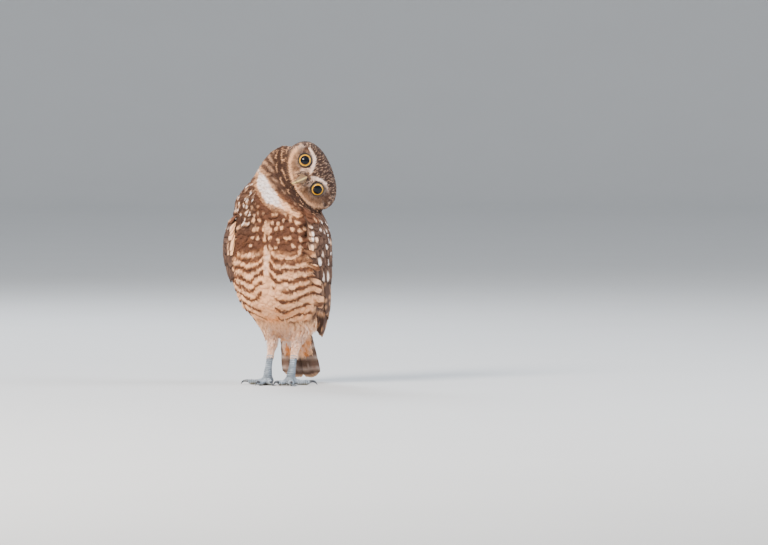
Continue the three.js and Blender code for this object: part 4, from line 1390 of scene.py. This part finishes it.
class OWL_OT_leg_coat(Operator):
    """Soft tufts of the thighs and the upper legs"""
    bl_idname = "owl.leg_coat"
    bl_label = "Leg feathers"

    def execute(self, context):
        grow("coat_legs", "leg", DOWN, on_down, 80, scale=lambda at: mix(0.5, 1.35, smooth(at["z"], 31, 60)))
        return {"FINISHED"}


# Wings: tiers of feathers, from the long ones up to the shoulder

Tier = namedtuple("Tier", "count across root tip half lift pattern rank")
LAST_LONG, FIRST_ON_SKIN, FIRST_SCAPULAR = 1, 8, 10  # ranks of tiers, counted up from the primaries
WING_TIERS = [
    Tier(10, (0.015, 0.31), (113, 118), (52, 47), 5.4, (-2.6, -1.5), FLIGHT_VANE, 0),
    Tier(11, (0.26, 0.95), (117, 125), (68, 53), 5.0, (-2.2, 0.0), FLIGHT_VANE, 1),
    Tier(13, (0.03, 0.93), (134, 140), (104, 97), 4.0, (-2.4, 0.4), COVERT_VANE, 2),
    Tier(15, (0.05, 0.92), (143, 147), (119, 115), 3.8, (-2.4, 0.6), COVERT_VANE, 3),
]
for row in range(6):
    high, low = (148 + 5.2 * row, 149 + 5.2 * row), (130 + 6 * row, 128 + 6 * row)
    across = (0.03 + 0.015 * row, 0.92)
    WING_TIERS.append(Tier(16 - row // 2, across, high, low, 3.5, (-2.3, 0.8), COVERT_VANE, 4 + row))
for row in range(3):
    high, low = (175 + 4 * row, 176 + 4.5 * row), (160 + 4 * row, 159 + 4.5 * row)
    WING_TIERS.append(Tier(15, (0.09, 0.86), high, low, 3.6, (-1.0, 1.1), BODY_FEATHER, FIRST_SCAPULAR + row))


def wing_paint(tier, s, w, place, number, front, rare):
    """Marks along and across one wing feather: bars on the long ones, pale oval spots on the others."""
    paint = np.tile([0.1, 0.2, 0.28], (len(s), 1))
    blur = grain(place, 2.5, 71) * 0.12
    if tier.rank <= LAST_LONG:
        length, from_bar_to_bar = 62.0, 10.5
        phase = (s * length / from_bar_to_bar + number * 0.35 + blur) % 1
        bar = smooth(np.abs(phase - 0.5), 0.3, 0.4)
        paint = laid(paint, bar * smooth(np.abs(w), 0.15, 0.5) * 0.9, 0.6, 0.0, 0.8)
        paint = laid(paint, smooth(w, 0.78, 0.95) * 0.7, 0.5, 0.0, 0.9)
        return laid(paint, smooth(s, 0.93, 0.98) * 0.85, 0.75, 0.0, 0.78)
    paint = laid(paint, smooth(np.abs(w), 0.45, 0.9) * 0.6, 0.3, 0.0, 0.5)
    tall = 0.11 if tier.rank == 2 else 0.2
    which = np.where(number > 0.75, 1.0, -1.0)
    spot = np.hypot((w - 0.3 * which) / 0.5, (s - 0.74 - 0.08 * number) / tall) + blur
    shown = (number > rare) * (tier.rank < FIRST_ON_SKIN)
    paint = laid(paint, shown * (1 - smooth(spot, 0.75, 1.15)), 1.0, 0.0, 0.1 + 0.25 * (number > 0.85))
    paint = laid(paint, smooth(grain(place * [1, 1, 0.4], 2.4, 72), 0.2, 0.7) * 0.5, 0.3, 0.0, 0.5)
    small = np.hypot(w / 0.35, (s - 0.68 - 0.4 * (number * 7 % 1)) / 0.12)
    shown = (number > 0.5) * (tier.rank >= FIRST_ON_SKIN)
    paint = laid(paint, shown * (1 - smooth(small, 0.7, 1.2)), 0.9, 0.0, 0.2)
    return laid(paint, front, 0.95, 0.0, 0.62)


def on_back(across, p, stand):
    """The hind part of the wing brought down on to the back, to stand a little off it."""
    top = smooth(p[..., 2], 148, 172)
    share = smooth(across, mix(0.5, 0.22, top), mix(0.85, 0.6, top)) * smooth(p[..., 2], 92, 112)
    near, normal = owl_skin().nearest(p.reshape(-1, 3))
    settled = (near + normal * (1.6 + stand)).reshape(p.shape)
    return p + (settled - p) * share[..., None]


def wing_vanes(tier, side, dice):
    """One tier of a wing, made on the left: its points, triangles, paint and two UV maps."""
    count, stand = tier.count, tier.rank * 0.15
    share = np.arange(count) / (count - 1)
    across = mix(*tier.across, share) + dice.uniform(-0.008, 0.008, count)
    high = mix(*tier.root, share) + dice.uniform(-2.5, 2.5, count) * (tier.rank >= FIRST_SCAPULAR)
    low = mix(*tier.tip, share) + dice.uniform(-1.4, 1.4, count) * (2 if tier.rank > 2 else 1)
    centre = (high + low) / 2
    root = on_back(across, wing_face(across, high, np.full(count, tier.lift[0])), stand)
    if tier.rank >= FIRST_ON_SKIN:
        near, normal = owl_skin().nearest(root)
        root = near - normal * 0.2
    middle = on_back(across, wing_face(across, centre, np.full(count, mix(*tier.lift, 0.62))), stand + 0.7)
    spread = 3.6 * (share - 0.4) * (tier.rank == 0)
    tip = on_back(across, wing_face(across, low, tier.lift[1] + spread), stand + 1.2)
    if tier.rank >= FIRST_SCAPULAR:
        near_root = np.linalg.norm(root - wing_face(across, high), axis=1) < 13
        chosen = (places(root)["beyond"] > 9) & near_root
        across, high, centre = across[chosen], high[chosen], centre[chosen]
        root, middle, tip = root[chosen], middle[chosen], tip[chosen]
        count = len(root)
    step = 0.5 / count
    beside = np.linalg.norm(wing_face(across + step, centre) - wing_face(across - step, centre), axis=1)
    lean = np.degrees(np.arcsin(np.minimum(0.6, 0.55 / beside)))
    half = tier.half * dice.uniform(0.93, 1.07, count)
    points, s, w, triangles = tier.pattern.lay(root, middle, tip, wing_normal(across, centre), half, dice,
                                               dome=0.1, thick=0.25, tilt=lean * 1.3)
    each = len(tier.pattern.s)
    number = np.repeat(dice.random(count), each)
    front = np.repeat(1 - smooth(across, 0.07, 0.13), each) * (1 - smooth(w, -0.25, 0.3))
    if side == "left":
        front = front * 0.7 * smooth(s, 0.6, 0.8) * (1 - smooth(s, 0.9, 1.0)) * (number > 0.3)
    front = front * (4 <= tier.rank <= 8)
    if tier.rank >= FIRST_SCAPULAR:
        paint = markings(points)
    else:
        paint = wing_paint(tier, s, w, points, number, front, 0.6 if side == "left" else 0.8)
    long_mm = np.repeat(np.linalg.norm(tip - root, axis=1), each)
    barbs = np.column_stack([w * tier.half + 100, s * long_mm + number * 800])
    bake = np.repeat(np.column_stack([across, (high - 40) / 140]), each, 0)
    wide = 0.05 if tier.rank <= LAST_LONG else 0.035
    bake = 0.03 + 0.9 * bake + np.column_stack([w * wide / 2, (0.5 - s) * 0.08])
    return points, triangles, paint, barbs, bake


def mirrored(points, triangles, side):
    if side == "left":
        return points, triangles
    return points * [-1, 1, 1], triangles[:, ::-1]


def wing_pad(side):
    """The arm under the coverts."""
    t, z = np.meshgrid(np.linspace(0.03, 0.96, 20), np.linspace(80, 173, 26))
    edge = np.maximum(np.abs(t - 0.5) * 2, np.abs(z - 128) / 50)
    thinned = smooth(edge, 0.8, 1.0)
    outer = on_back(t, wing_face(t, z, -1.7 - 1.0 * thinned), -0.4)
    inner = on_back(t, wing_face(t, z, -4.2 + 1.3 * thinned), -2.2)
    return mirrored(*rings_closed(np.concatenate([outer, inner[:, ::-1]], axis=1)), side)


class OWL_OT_wings(Operator):
    """The folded wings, feather by feather"""
    bl_idname = "owl.wings"
    bl_label = "Wings"

    def execute(self, context):
        seed = context.scene.owl_coat.seed
        material = plumage_finish("wing feathers", 0.9)
        for side in SIDES:
            dice = np.random.default_rng(seed + 100 + len(side))
            made = [wing_vanes(tier, side, dice) for tier in WING_TIERS]
            points, triangles = joined([mirrored(points, triangles, side) for points, triangles, *_ in made])
            paint, barbs, bake = (np.concatenate(parts) for parts in list(zip(*made))[2:])
            dressed(f"wing_feathers_{side}", points, triangles, paint, material, "wing", f"wing_{side}",
                    OFBake=np.clip(bake, 0, 1), barbs=barbs)
            points, triangles = wing_pad(side)
            paint = np.tile([0.12, 0.2, 0.3], (len(points), 1))
            dressed(f"wing_arm_{side}", points, triangles, paint, material, "wing", barbs=points[:, [0, 2]])
        return {"FINISHED"}


# Tail

def tail_place(along, across, back):
    along, across, back = np.broadcast_arrays(along, across, back)
    return (TAIL_ROOT + along[..., None] * TAIL_DOWN + across[..., None] * np.array([1.0, 0, 0])
            + back[..., None] * TAIL_BACK)


def tail_vanes(dice):
    """The twelve tail feathers, the middle pair at the back."""
    pairs, half = 6, TAIL_FEATHER_HALF
    ends = []
    for k in range(pairs):
        for side in (-1, 1):
            layer = 2.3 - 0.85 * k
            root = side * (2.6 + 1.5 * k)
            tip = side * (half * 0.62 + (TAIL_HALF_WIDTH - half * 1.5) / (pairs - 1) * k)
            ends.append([
                tail_place(6.0, root, 0.3 * layer),
                tail_place(6 + (TAIL_LENGTH - 6) / 2, (root + tip) / 2, 0.8 * layer),
                tail_place(TAIL_LENGTH - 0.22 * k**2, tip, layer - 1.2),
            ])
    root, middle, tip = np.array(ends).transpose(1, 0, 2)
    up = np.tile(TAIL_BACK, (len(root), 1))
    points, s, w, triangles = FLIGHT_VANE.lay(root, middle, tip, up, half, dice, dome=0.06, thick=0.22)
    each = len(FLIGHT_VANE.s)
    number = np.repeat(dice.random(len(root)), each)
    paint = np.tile([0.2, 0.12, 0.3], (len(s), 1))
    phase = (s * TAIL_LENGTH / 15.5 + 0.1 * number + grain(points, 4, 81) * 0.06) % 1
    bar = smooth(np.abs(phase - 0.5), 0.27, 0.36)
    paint = laid(paint, bar * mix(1, 0.55, np.exp(-np.abs(w) * 9)), 0.5, 0.0, 0.2)
    paint = laid(paint, smooth(s, 0.94, 0.98) * 0.9, 0.8, 0.0, 0.5)
    barbs = np.column_stack([w * half + 100, s * TAIL_LENGTH + number * 800])
    column = np.repeat(np.arange(len(root)) + 0.5, each) / len(root)
    bake = np.column_stack([column + w * 0.034, 0.04 + 0.9 * s])
    return points, triangles, paint, barbs, bake


def tail_pad():
    """The flesh at the tail's root: places along it, each with its half width and half thickness."""
    rows = [(-6, 11, 5), (2, 14, 6), (12, 15, 5.2), (24, 15.5, 3.6), (36, 14, 1.9), (46, 9, 0.7)]
    a = circle(28)
    return rings_closed(np.stack([tail_place(along, (half - 1) * np.cos(a), (thick - 1.2) * np.sin(a) - 1)
                                  for along, half, thick in rows]))


def tail_coverts(dice):
    """Soft feathers over and under the tail's root."""
    count = 15
    root, way, up = [], [], []
    for below in (False, True):
        for row in range(6 if below else 5):
            for k in range(count):
                across = (k / (count - 1) - 0.5) * (27 - row * 1.2) + dice.uniform(-0.8, 0.8)
                along = row * 6.2 - 3 + dice.uniform(-1, 1)
                edge = 1 - (across / 16) ** 2
                back = (4.2 - 0.09 * along) * max(edge, 0) ** 0.5
                root.append(tail_place(along, across, (-back - 1.6) if below else back - 1.2))
                way.append(TAIL_DOWN + np.array([across * 0.012, 0, 0]))
                up.append(TAIL_BACK * (-1 if below else 1) + np.array([across * 0.03, 0, 0]))
    root, way, up = np.array(root), unit(np.array(way)), unit(np.array(up))
    n, each = len(root), len(FLUFF.s)
    length = dice.uniform(14, 21, n)[:, None]
    middle = root + way * length * 0.5 + up
    tip = root + way * length + up * dice.uniform(0.3, 3.4, n)[:, None]
    points, s, w, triangles = FLUFF.lay(root, middle, tip, up, dice.uniform(2.6, 3.6, n), dice, dome=0.1)
    under = np.repeat(up[:, 1] < 0, each)
    number = np.repeat(dice.random(n), each)
    cream = np.column_stack([np.full(len(s), 0.93), np.zeros(len(s)), 0.15 + 0.85 * number])
    paint = np.where(under[:, None], cream, [0.16, 0.14, 0.35])
    spot = (~under) * (1 - smooth(np.hypot(w / 0.5, (s - 0.75) / 0.12), 0.7, 1.2))
    paint = laid(paint, spot, 0.85, 0.0, 0.3)
    barbs = np.column_stack([w * 4 + 100, s * 16 + number * 800])
    column = (root[:, 0] / 34 + 0.5) * 0.5 + 0.5 * (up[:, 1] < 0)
    bake = np.repeat(np.column_stack([column, (root[:, 2] - 30) / 50]), each, 0)
    bake = np.clip(bake, 0.01, 0.99) + np.column_stack([w * 0.5, s - 0.5]) * PATCH * 4
    return points, triangles, paint, barbs, bake


class OWL_OT_tail(Operator):
    """The tail feathers and the soft coverts at their root"""
    bl_idname = "owl.tail"
    bl_label = "Tail"

    def execute(self, context):
        seed = context.scene.owl_coat.seed
        material = plumage_finish("tail feathers", 0.9)
        vanes = tail_vanes(np.random.default_rng(seed + 200))
        coverts = tail_coverts(np.random.default_rng(seed + 210))
        for name, made, nodes in (("tail_feathers", vanes, ["tail"]), ("tail_coverts", coverts, [])):
            points, triangles, paint, barbs, bake = made
            dressed(name, points, triangles, paint, material, "tail", *nodes,
                    OFBake=np.clip(bake, 0, 1), barbs=barbs)
        points, triangles = tail_pad()
        paint = np.tile([0.7, 0.0, 0.5], (len(points), 1))
        dressed("tail_root", points, triangles, paint, material, "tail", barbs=points[:, [0, 2]])
        return {"FINISHED"}


# Eyes, lids, bill, feet and claws

def eye_frame(side):
    """The eye's middle and two of the ways it is built along, in the head's frame: across and forward."""
    a = math.radians(EYE_OUTWARD)
    forward = np.array([SIDES[side] * math.sin(a), -math.cos(a), 0.0])
    middle = np.array([SIDES[side] * (EYE_SPACING / 2 - 1.9), -14.0, 0.0])
    return middle, unit(np.cross(UP, forward)), forward


class OWL_OT_eyes(Operator):
    """Both eyes and the bare rims of their lids"""
    bl_idname = "owl.eyes"
    bl_label = "Eyes"

    def execute(self, context):
        glass, rim = eye_finish("eye"), lid_finish("lid rims")
        a = circle(64)
        tilt = np.radians(np.concatenate([np.linspace(0.4, 50, 56), np.linspace(53, 179, 24)]))
        radius = EYE_RADIUS * (1 + 0.045 * bell(np.degrees(tilt), 34))
        flat, out = radius * np.cos(tilt), radius * np.sin(tilt)
        for side in SIDES:
            middle, across, forward = eye_frame(side)
            ring = np.cos(a)[None, :, None] * across + np.sin(a)[None, :, None] * UP
            rings = middle + flat[:, None, None] * forward + out[:, None, None] * ring
            points, triangles = rings_closed(from_head(rings.reshape(-1, 3)).reshape(rings.shape))
            q = to_head(points) - middle
            away = np.linalg.norm(q - (q @ forward)[:, None] * forward, axis=1)
            away = np.where(q @ forward > 0, away, 10)
            angle = np.arctan2(q @ UP, q @ across) / (2 * math.pi) + 0.5
            paint = np.column_stack([away / 10, angle, np.zeros(len(q))])
            dressed(f"eyeball_{side}", points, triangles, paint, glass, "eye", f"eye_{side}")
            self.lids(side, rim)
        return {"FINISHED"}

    def lids(self, side, rim):
        """A soft rim round the eye, a little heavier above."""
        middle, across, forward = eye_frame(side)
        a, b = circle(72), circle(12)
        heavy = 1 + 0.18 * np.maximum(np.sin(a), 0) + 0.05 * np.sin(9 * a)
        seat = math.sqrt(EYE_RADIUS**2 - LID_RADIUS**2) + 0.45
        out = np.cos(a)[:, None] * across + np.sin(a)[:, None] * UP
        centre = middle + forward * seat + out * (IRIS_RADIUS + 0.3)
        points = (centre[:, None] + out[:, None] * (0.5 * heavy[:, None, None] * np.cos(b)[None, :, None])
                  + forward * (0.7 * heavy[:, None, None] * np.sin(b)[None, :, None]))
        points = from_head(points.reshape(-1, 3))
        triangles = outward(points, grid(len(a), len(b), True, True))
        piece(f"lids_{side}", mesh_of(f"lids_{side}", points, triangles), rim, "face")


class OWL_OT_bill(Operator):
    """The hooked bill, both halves"""
    bl_idname = "owl.bill"
    bl_label = "Bill"

    def execute(self, context):
        material = horn_finish("bill horn", "bill", "bill_ridge", 0.4, 0.12)
        top, under = tube(UPPER_BILL, 32, 8, 0.75), tube(LOWER_BILL, 32, 8)
        for name, node, points, triangles in (
            ("bill_top", "bill_upper", self.carved(top[0]), top[1]),
            ("bill_under", "bill_lower", *under),
        ):
            ridge = bell(points[:, 0], 0.75) * smooth(-points[:, 1], 24, 27)
            tip = smooth(-points[:, 2], 15, 20)
            paint = np.outer(np.maximum(ridge, tip * 0.7), [1, 0, 0])
            dressed(name, from_head(points), triangles, paint, material, "bill", node)
        return {"FINISHED"}

    def carved(self, points):
        """A sharper ridge, a soft swelling at the root and a nostril on each side."""
        out = points.copy()
        side = np.abs(out[:, 0])
        from_nostril = np.column_stack([side - 3.0, out[:, 1] + 26.6, out[:, 2] + 8.6])
        pit = bell(np.linalg.norm(from_nostril, axis=1), 0.9)
        out[:, 0] -= np.sign(out[:, 0]) * 1.1 * pit
        root = bell(out[:, 1] + 25, 2.6) * smooth(out[:, 2], -9, -5)
        out[:, 2] += 0.5 * root * bell(side, 3)
        out[:, 0] *= 1 - 0.1 * smooth(out[:, 2], -5, 0)
        return out


def toe_rows(side, k):
    """A place along a toe as a function, the toe's length, and the rows of its tube."""
    way, length = TOES[side][k]
    x, y = FOOT_PLACE[side]
    dx, dy = math.sin(math.radians(way)), -math.cos(math.radians(way))

    def at(d, z, r):
        return (x + dx * d, y + dy * d, z, r, r * 0.95)

    knuckle = 8.6
    return at, length, [
        at(4.5, 4.2, TOE_RADIUS - 0.1),
        at(knuckle, 2.7, TOE_RADIUS),
        at(mix(knuckle, length, 0.45), 2.6, TOE_RADIUS - 0.4),
        at(mix(knuckle, length, 0.75), 2.5, TOE_RADIUS),
        at(length, 2.9, 2.1),
    ]


class OWL_OT_claws(Operator):
    """The hooked claws"""
    bl_idname = "owl.claws"
    bl_label = "Claws"

    def execute(self, context):
        material = horn_finish("claw horn", "claw", "claw_base", 0.28, 0.5)
        sides = context.scene.owl_feet.claw_sides
        for side in SIDES:
            for k in range(4):
                at, length, _ = toe_rows(side, k)
                points, triangles = tube([at(length + d, z, r) for d, z, r in CLAW], sides, 6)
                points[:, 2] = np.maximum(points[:, 2], 0.1)
                along = np.linalg.norm(points[:, :2] - FOOT_PLACE[side], axis=1) - length
                paint = np.outer(1 - smooth(along, 0.0, 2.4), [1, 0, 0])
                dressed(f"talon_{side}_{k + 1}", points, triangles, paint, material, "claw",
                        f"claw_{side}_{k + 1}")
        return {"FINISHED"}


# Shapes made by Geometry Nodes along paths

def path_object(name, paths):
    """Poly paths, each point with its own radius, in metres."""
    data = bpy.data.curves.new(name, "CURVE")
    data.dimensions = "3D"
    for rows in paths:
        spline = data.splines.new("POLY")
        spline.points.add(len(rows) - 1)
        for point, (x, y, z, r) in zip(spline.points, rows):
            point.co = (*in_metres(np.array([x, y, z])), 1.0)
            point.radius = r * MM
    return linked(name, data)


class Sockets(Nodes):
    """A Geometry Nodes tree with named inputs."""

    def __init__(self, name, sizes):
        self.tree = bpy.data.node_groups.new(name, "GeometryNodeTree")
        face = self.tree.interface
        face.new_socket("Geometry", in_out="INPUT", socket_type="NodeSocketGeometry")
        self.known = {}
        for label, kind in sizes:
            self.known[label] = face.new_socket(label, in_out="INPUT", socket_type=kind).identifier
        face.new_socket("Geometry", in_out="OUTPUT", socket_type="NodeSocketGeometry")
        self.start = self.tree.nodes.new("NodeGroupInput")
        self.end = self.tree.nodes.new("NodeGroupOutput")

    def close(self, geometry):
        whole = self.node("GeometryNodeRealizeInstances", Geometry=geometry)
        soft = self.node("GeometryNodeSetShadeSmooth", Geometry=whole.outputs[0])
        painted = self.node("GeometryNodeSetMaterial", Geometry=soft.outputs[0],
                            Material=self.start.outputs["Material"])
        self.tree.links.new(painted.outputs[0], self.end.inputs[0])


def scute_tree():
    """Low rings of horn along each path, as wide as the path's radius."""
    made = Sockets("scutes", [("Spacing", "NodeSocketFloat"), ("Half Length", "NodeSocketFloat"),
                              ("Material", "NodeSocketMaterial")])
    given = made.start.outputs
    points = made.node("GeometryNodeCurveToPoints", {"mode": "LENGTH"}, Curve=given["Geometry"],
                       Length=given["Spacing"])
    ball = made.node("GeometryNodeMeshUVSphere", Segments=22, Rings=8, Radius=1.0)
    radius = made.node("GeometryNodeInputRadius").outputs[0]
    scale = made.node("ShaderNodeCombineXYZ", X=radius, Y=radius, Z=given["Half Length"])
    rings = made.node("GeometryNodeInstanceOnPoints", Points=points.outputs[0], Instance=ball.outputs[0],
                      Rotation=points.outputs["Rotation"], Scale=scale.outputs[0])
    made.close(rings.outputs[0])
    return made


def bristle_tree():
    """A thin tapered hair along each path."""
    made = Sockets("bristles", [("Thickness", "NodeSocketFloat"), ("Sides", "NodeSocketInt"),
                                ("Material", "NodeSocketMaterial")])
    given = made.start.outputs
    ring = made.node("GeometryNodeCurvePrimitiveCircle", Resolution=given["Sides"], Radius=given["Thickness"])
    radius = made.node("GeometryNodeInputRadius")
    share = made.node("ShaderNodeMath", {"operation": "MULTIPLY"}, radius.outputs[0], 1 / MM)
    hair = made.node("GeometryNodeCurveToMesh", Curve=given["Geometry"], Profile_Curve=ring.outputs[0],
                     Scale=share.outputs[0], Fill_Caps=True)
    made.close(hair.outputs[0])
    return made


def made_by_nodes(name, paths, made, material, slot_name, **sizes):
    """The tree's result along the paths, as a plain mesh piece."""
    obj = path_object(f"{name} paths", paths)
    modifier = obj.modifiers.new(name, "NODES")
    modifier.node_group = made.tree
    for label, value in sizes.items():
        modifier[made.known[label.replace("_", " ")]] = value
    modifier[made.known["Material"]] = material
    bpy.context.view_layer.update()
    mesh = baked_down(obj)
    mesh.name = name
    piece(name, mesh, material, slot_name)


class OWL_OT_scutes(Operator):
    """Rows of scutes along the toes and up the bare legs"""
    bl_idname = "owl.scutes"
    bl_label = "Scutes"

    def execute(self, context):
        sizes = context.scene.owl_feet
        paths = []
        for side, sign in SIDES.items():
            for k in range(4):
                toe = through(np.column_stack([np.linspace(0, 1, 5), np.array(toe_rows(side, k)[2])]))
                rows = toe(np.linspace(0.04, 0.97, 16))
                paths.append([(x, y, z + 0.5, 0.99 * r) for x, y, z, r, _ in rows])
            shift = 0 if side == "left" else FOOT_PLACE["left"][0] + FOOT_PLACE["right"][0]
            leg = through([(-z, sign * x, y, r) for x, y, z, r in LEG])
            heights = np.linspace(28, 9.5, 20)
            paths.append([(x + shift * smooth(60 - z, 0, 50), y - 0.45, z, 1.05 * r)
                          for z, (x, y, r) in zip(heights, leg(-heights))])
        made_by_nodes("scutes", paths, scute_tree(), scute_finish("scutes"), "skin", Spacing=sizes.scute_gap,
                      Half_Length=sizes.scute_half)
        return {"FINISHED"}


class OWL_OT_bristles(Operator):
    """Fine dark bristles round the root of the bill"""
    bl_idname = "owl.bristles"
    bl_label = "Bristles"

    def execute(self, context):
        dice = np.random.default_rng(context.scene.owl_coat.seed + 300)
        paths = []
        for _ in range(90):
            side = dice.choice([-1, 1])
            z = dice.uniform(-12, 0)
            start = np.array([side * dice.uniform(4.6, 6.2), -20.0 - 0.25 * (12 + z), z])
            way = unit(np.array([side * dice.uniform(0.15, 0.5), -0.75, dice.uniform(-0.75, 0.0)]))
            bend = np.array([side * 0.3, 0.0, -1.0])
            length = dice.uniform(5, 8)
            rows = []
            for s in np.linspace(0, 1, 5):
                x, y, h = from_head((start + way * length * s + bend * 1.6 * s * s)[None])[0]
                rows.append((x, y, h, 1 - 0.8 * s))
            paths.append(rows)
        made_by_nodes("bristles", paths, bristle_tree(), lid_finish("bristles"), "face",
                      Thickness=context.scene.owl_feet.bristle, Sides=4)
        return {"FINISHED"}


# Stage

def stage_finish(name, tint):
    made = Finish(name)
    cloud = made.noise(made.place(), 6.0, 2.0)
    return made.finish(made.brightened(made.mixed(cloud, tint, tint), 0.98 + cloud * 0.04), 0.9)


def area_light(name, place, target, size, power, tint):
    data = bpy.data.lights.new(name, "AREA")
    data.shape = "DISK"
    data.size = size
    data.energy = power
    data.color = tint
    obj = linked(name, data)
    obj.location = place
    obj.rotation_euler = (Vector(target) - Vector(place)).to_track_quat("-Z", "Y").to_euler()


class OWL_OT_stage(Operator):
    """Floor, backdrop, lights and camera"""
    bl_idname = "owl.stage"
    bl_label = "Stage"

    def execute(self, context):
        stage = context.scene.owl_stage
        feet = (Vector(in_metres(np.append(FOOT_PLACE["left"], 0.0)))
                + Vector(in_metres(np.append(FOOT_PLACE["right"], 0.0)))) / 2
        a, e = math.radians(stage.azimuth), math.radians(stage.elevation)
        back = Vector((math.sin(a) * math.cos(e), -math.cos(a) * math.cos(e), math.sin(e)))
        right = Vector((math.cos(a), math.sin(a), 0.0))
        target = feet + right * stage.across + back.cross(right) * stage.up
        self.backdrop(feet, tuple(stage.floor))
        data = bpy.data.cameras.new("camera")
        data.sensor_width = 36.0
        data.lens = stage.lens
        camera = linked("camera", data)
        camera.location = target + back * stage.distance
        camera.rotation_euler = (-back).to_track_quat("-Z", "Y").to_euler()
        context.scene.camera = camera
        mid = feet + Vector((0, 0, 0.14))
        for name, beside, place, size, power, tint in (
            ("key", -0.9, (0, -1.9, 1.5), 1.1, stage.key, (1.0, 0.93, 0.84)),
            ("fill", 1.9, (0, -0.5, 0.9), 1.4, stage.fill, (0.84, 0.91, 1.0)),
            ("rim", -1.2, (0, 1.6, 1.4), 1.0, stage.fill * 0.9, (0.86, 0.92, 1.0)),
        ):
            area_light(name, mid + right * beside + Vector(place), mid, size, power, tint)
        world = bpy.data.worlds.new("soft light")
        world.use_nodes = True
        tint, strength = world.node_tree.nodes["Background"].inputs[:2]
        tint.default_value = (0.82, 0.88, 0.95, 1)
        strength.default_value = 0.88
        context.scene.world = world
        return {"FINISHED"}

    def backdrop(self, feet, tint):
        """A floor that curves up behind, all round, so that every side has it."""
        n, flat, bend, top = 64, 7.4, 1.6, 5.0
        profile = [(0.001, 0.0)] + [(r, 0.0) for r in np.linspace(0.3, flat, 12)]
        quarter = np.linspace(0.1, math.pi / 2, 12)
        profile += [(flat + bend * math.sin(t), bend - bend * math.cos(t)) for t in quarter]
        profile += [(flat + bend, top)]
        points = [(feet.x + r * math.cos(t), feet.y + r * math.sin(t), z)
                  for r, z in profile for t in circle(n)]
        faces = [(i * n + j, (i + 1) * n + j, (i + 1) * n + (j + 1) % n, i * n + (j + 1) % n)
                 for i in range(len(profile) - 1) for j in range(n)]
        mesh = bpy.data.meshes.new("floor")
        mesh.from_pydata(points, [], faces)
        mesh.shade_smooth()
        mesh.materials.append(stage_finish("floor", tint))
        linked("floor", mesh)


# Panel and run

GROUPS = {
    "owl_coat": OWL_PG_coat,
    "owl_colours": OWL_PG_colours,
    "owl_feet": OWL_PG_feet,
    "owl_stage": OWL_PG_stage,
}
PIECES = (
    OWL_OT_skin, OWL_OT_body_coat, OWL_OT_edge_coat, OWL_OT_neck_coat, OWL_OT_head_coat, OWL_OT_leg_coat,
    OWL_OT_wings, OWL_OT_tail, OWL_OT_eyes, OWL_OT_bill, OWL_OT_claws, OWL_OT_scutes, OWL_OT_bristles,
    OWL_OT_stage,
)


class OWL_PT_panel(Panel):
    bl_idname = "OWL_PT_panel"
    bl_label = "Burrowing owl"
    bl_space_type = "VIEW_3D"
    bl_region_type = "UI"
    bl_category = "Owl"

    def draw(self, context):
        for group in GROUPS:
            box = self.layout.box()
            for key in getattr(context.scene, group).__annotations__:
                box.prop(getattr(context.scene, group), key)
        for made in PIECES:
            self.layout.operator(made.bl_idname)


def register():
    for made in (*GROUPS.values(), *PIECES, OWL_PT_panel):
        bpy.utils.register_class(made)
    for name, group in GROUPS.items():
        setattr(bpy.types.Scene, name, PointerProperty(type=group))


def unregister():
    for name in GROUPS:
        delattr(bpy.types.Scene, name)
    for made in reversed((*GROUPS.values(), *PIECES, OWL_PT_panel)):
        bpy.utils.unregister_class(made)


def main():
    register()
    for made in PIECES:
        group, name = made.bl_idname.split(".")
        getattr(getattr(bpy.ops, group), name)()


if __name__ == "__main__":
    main()
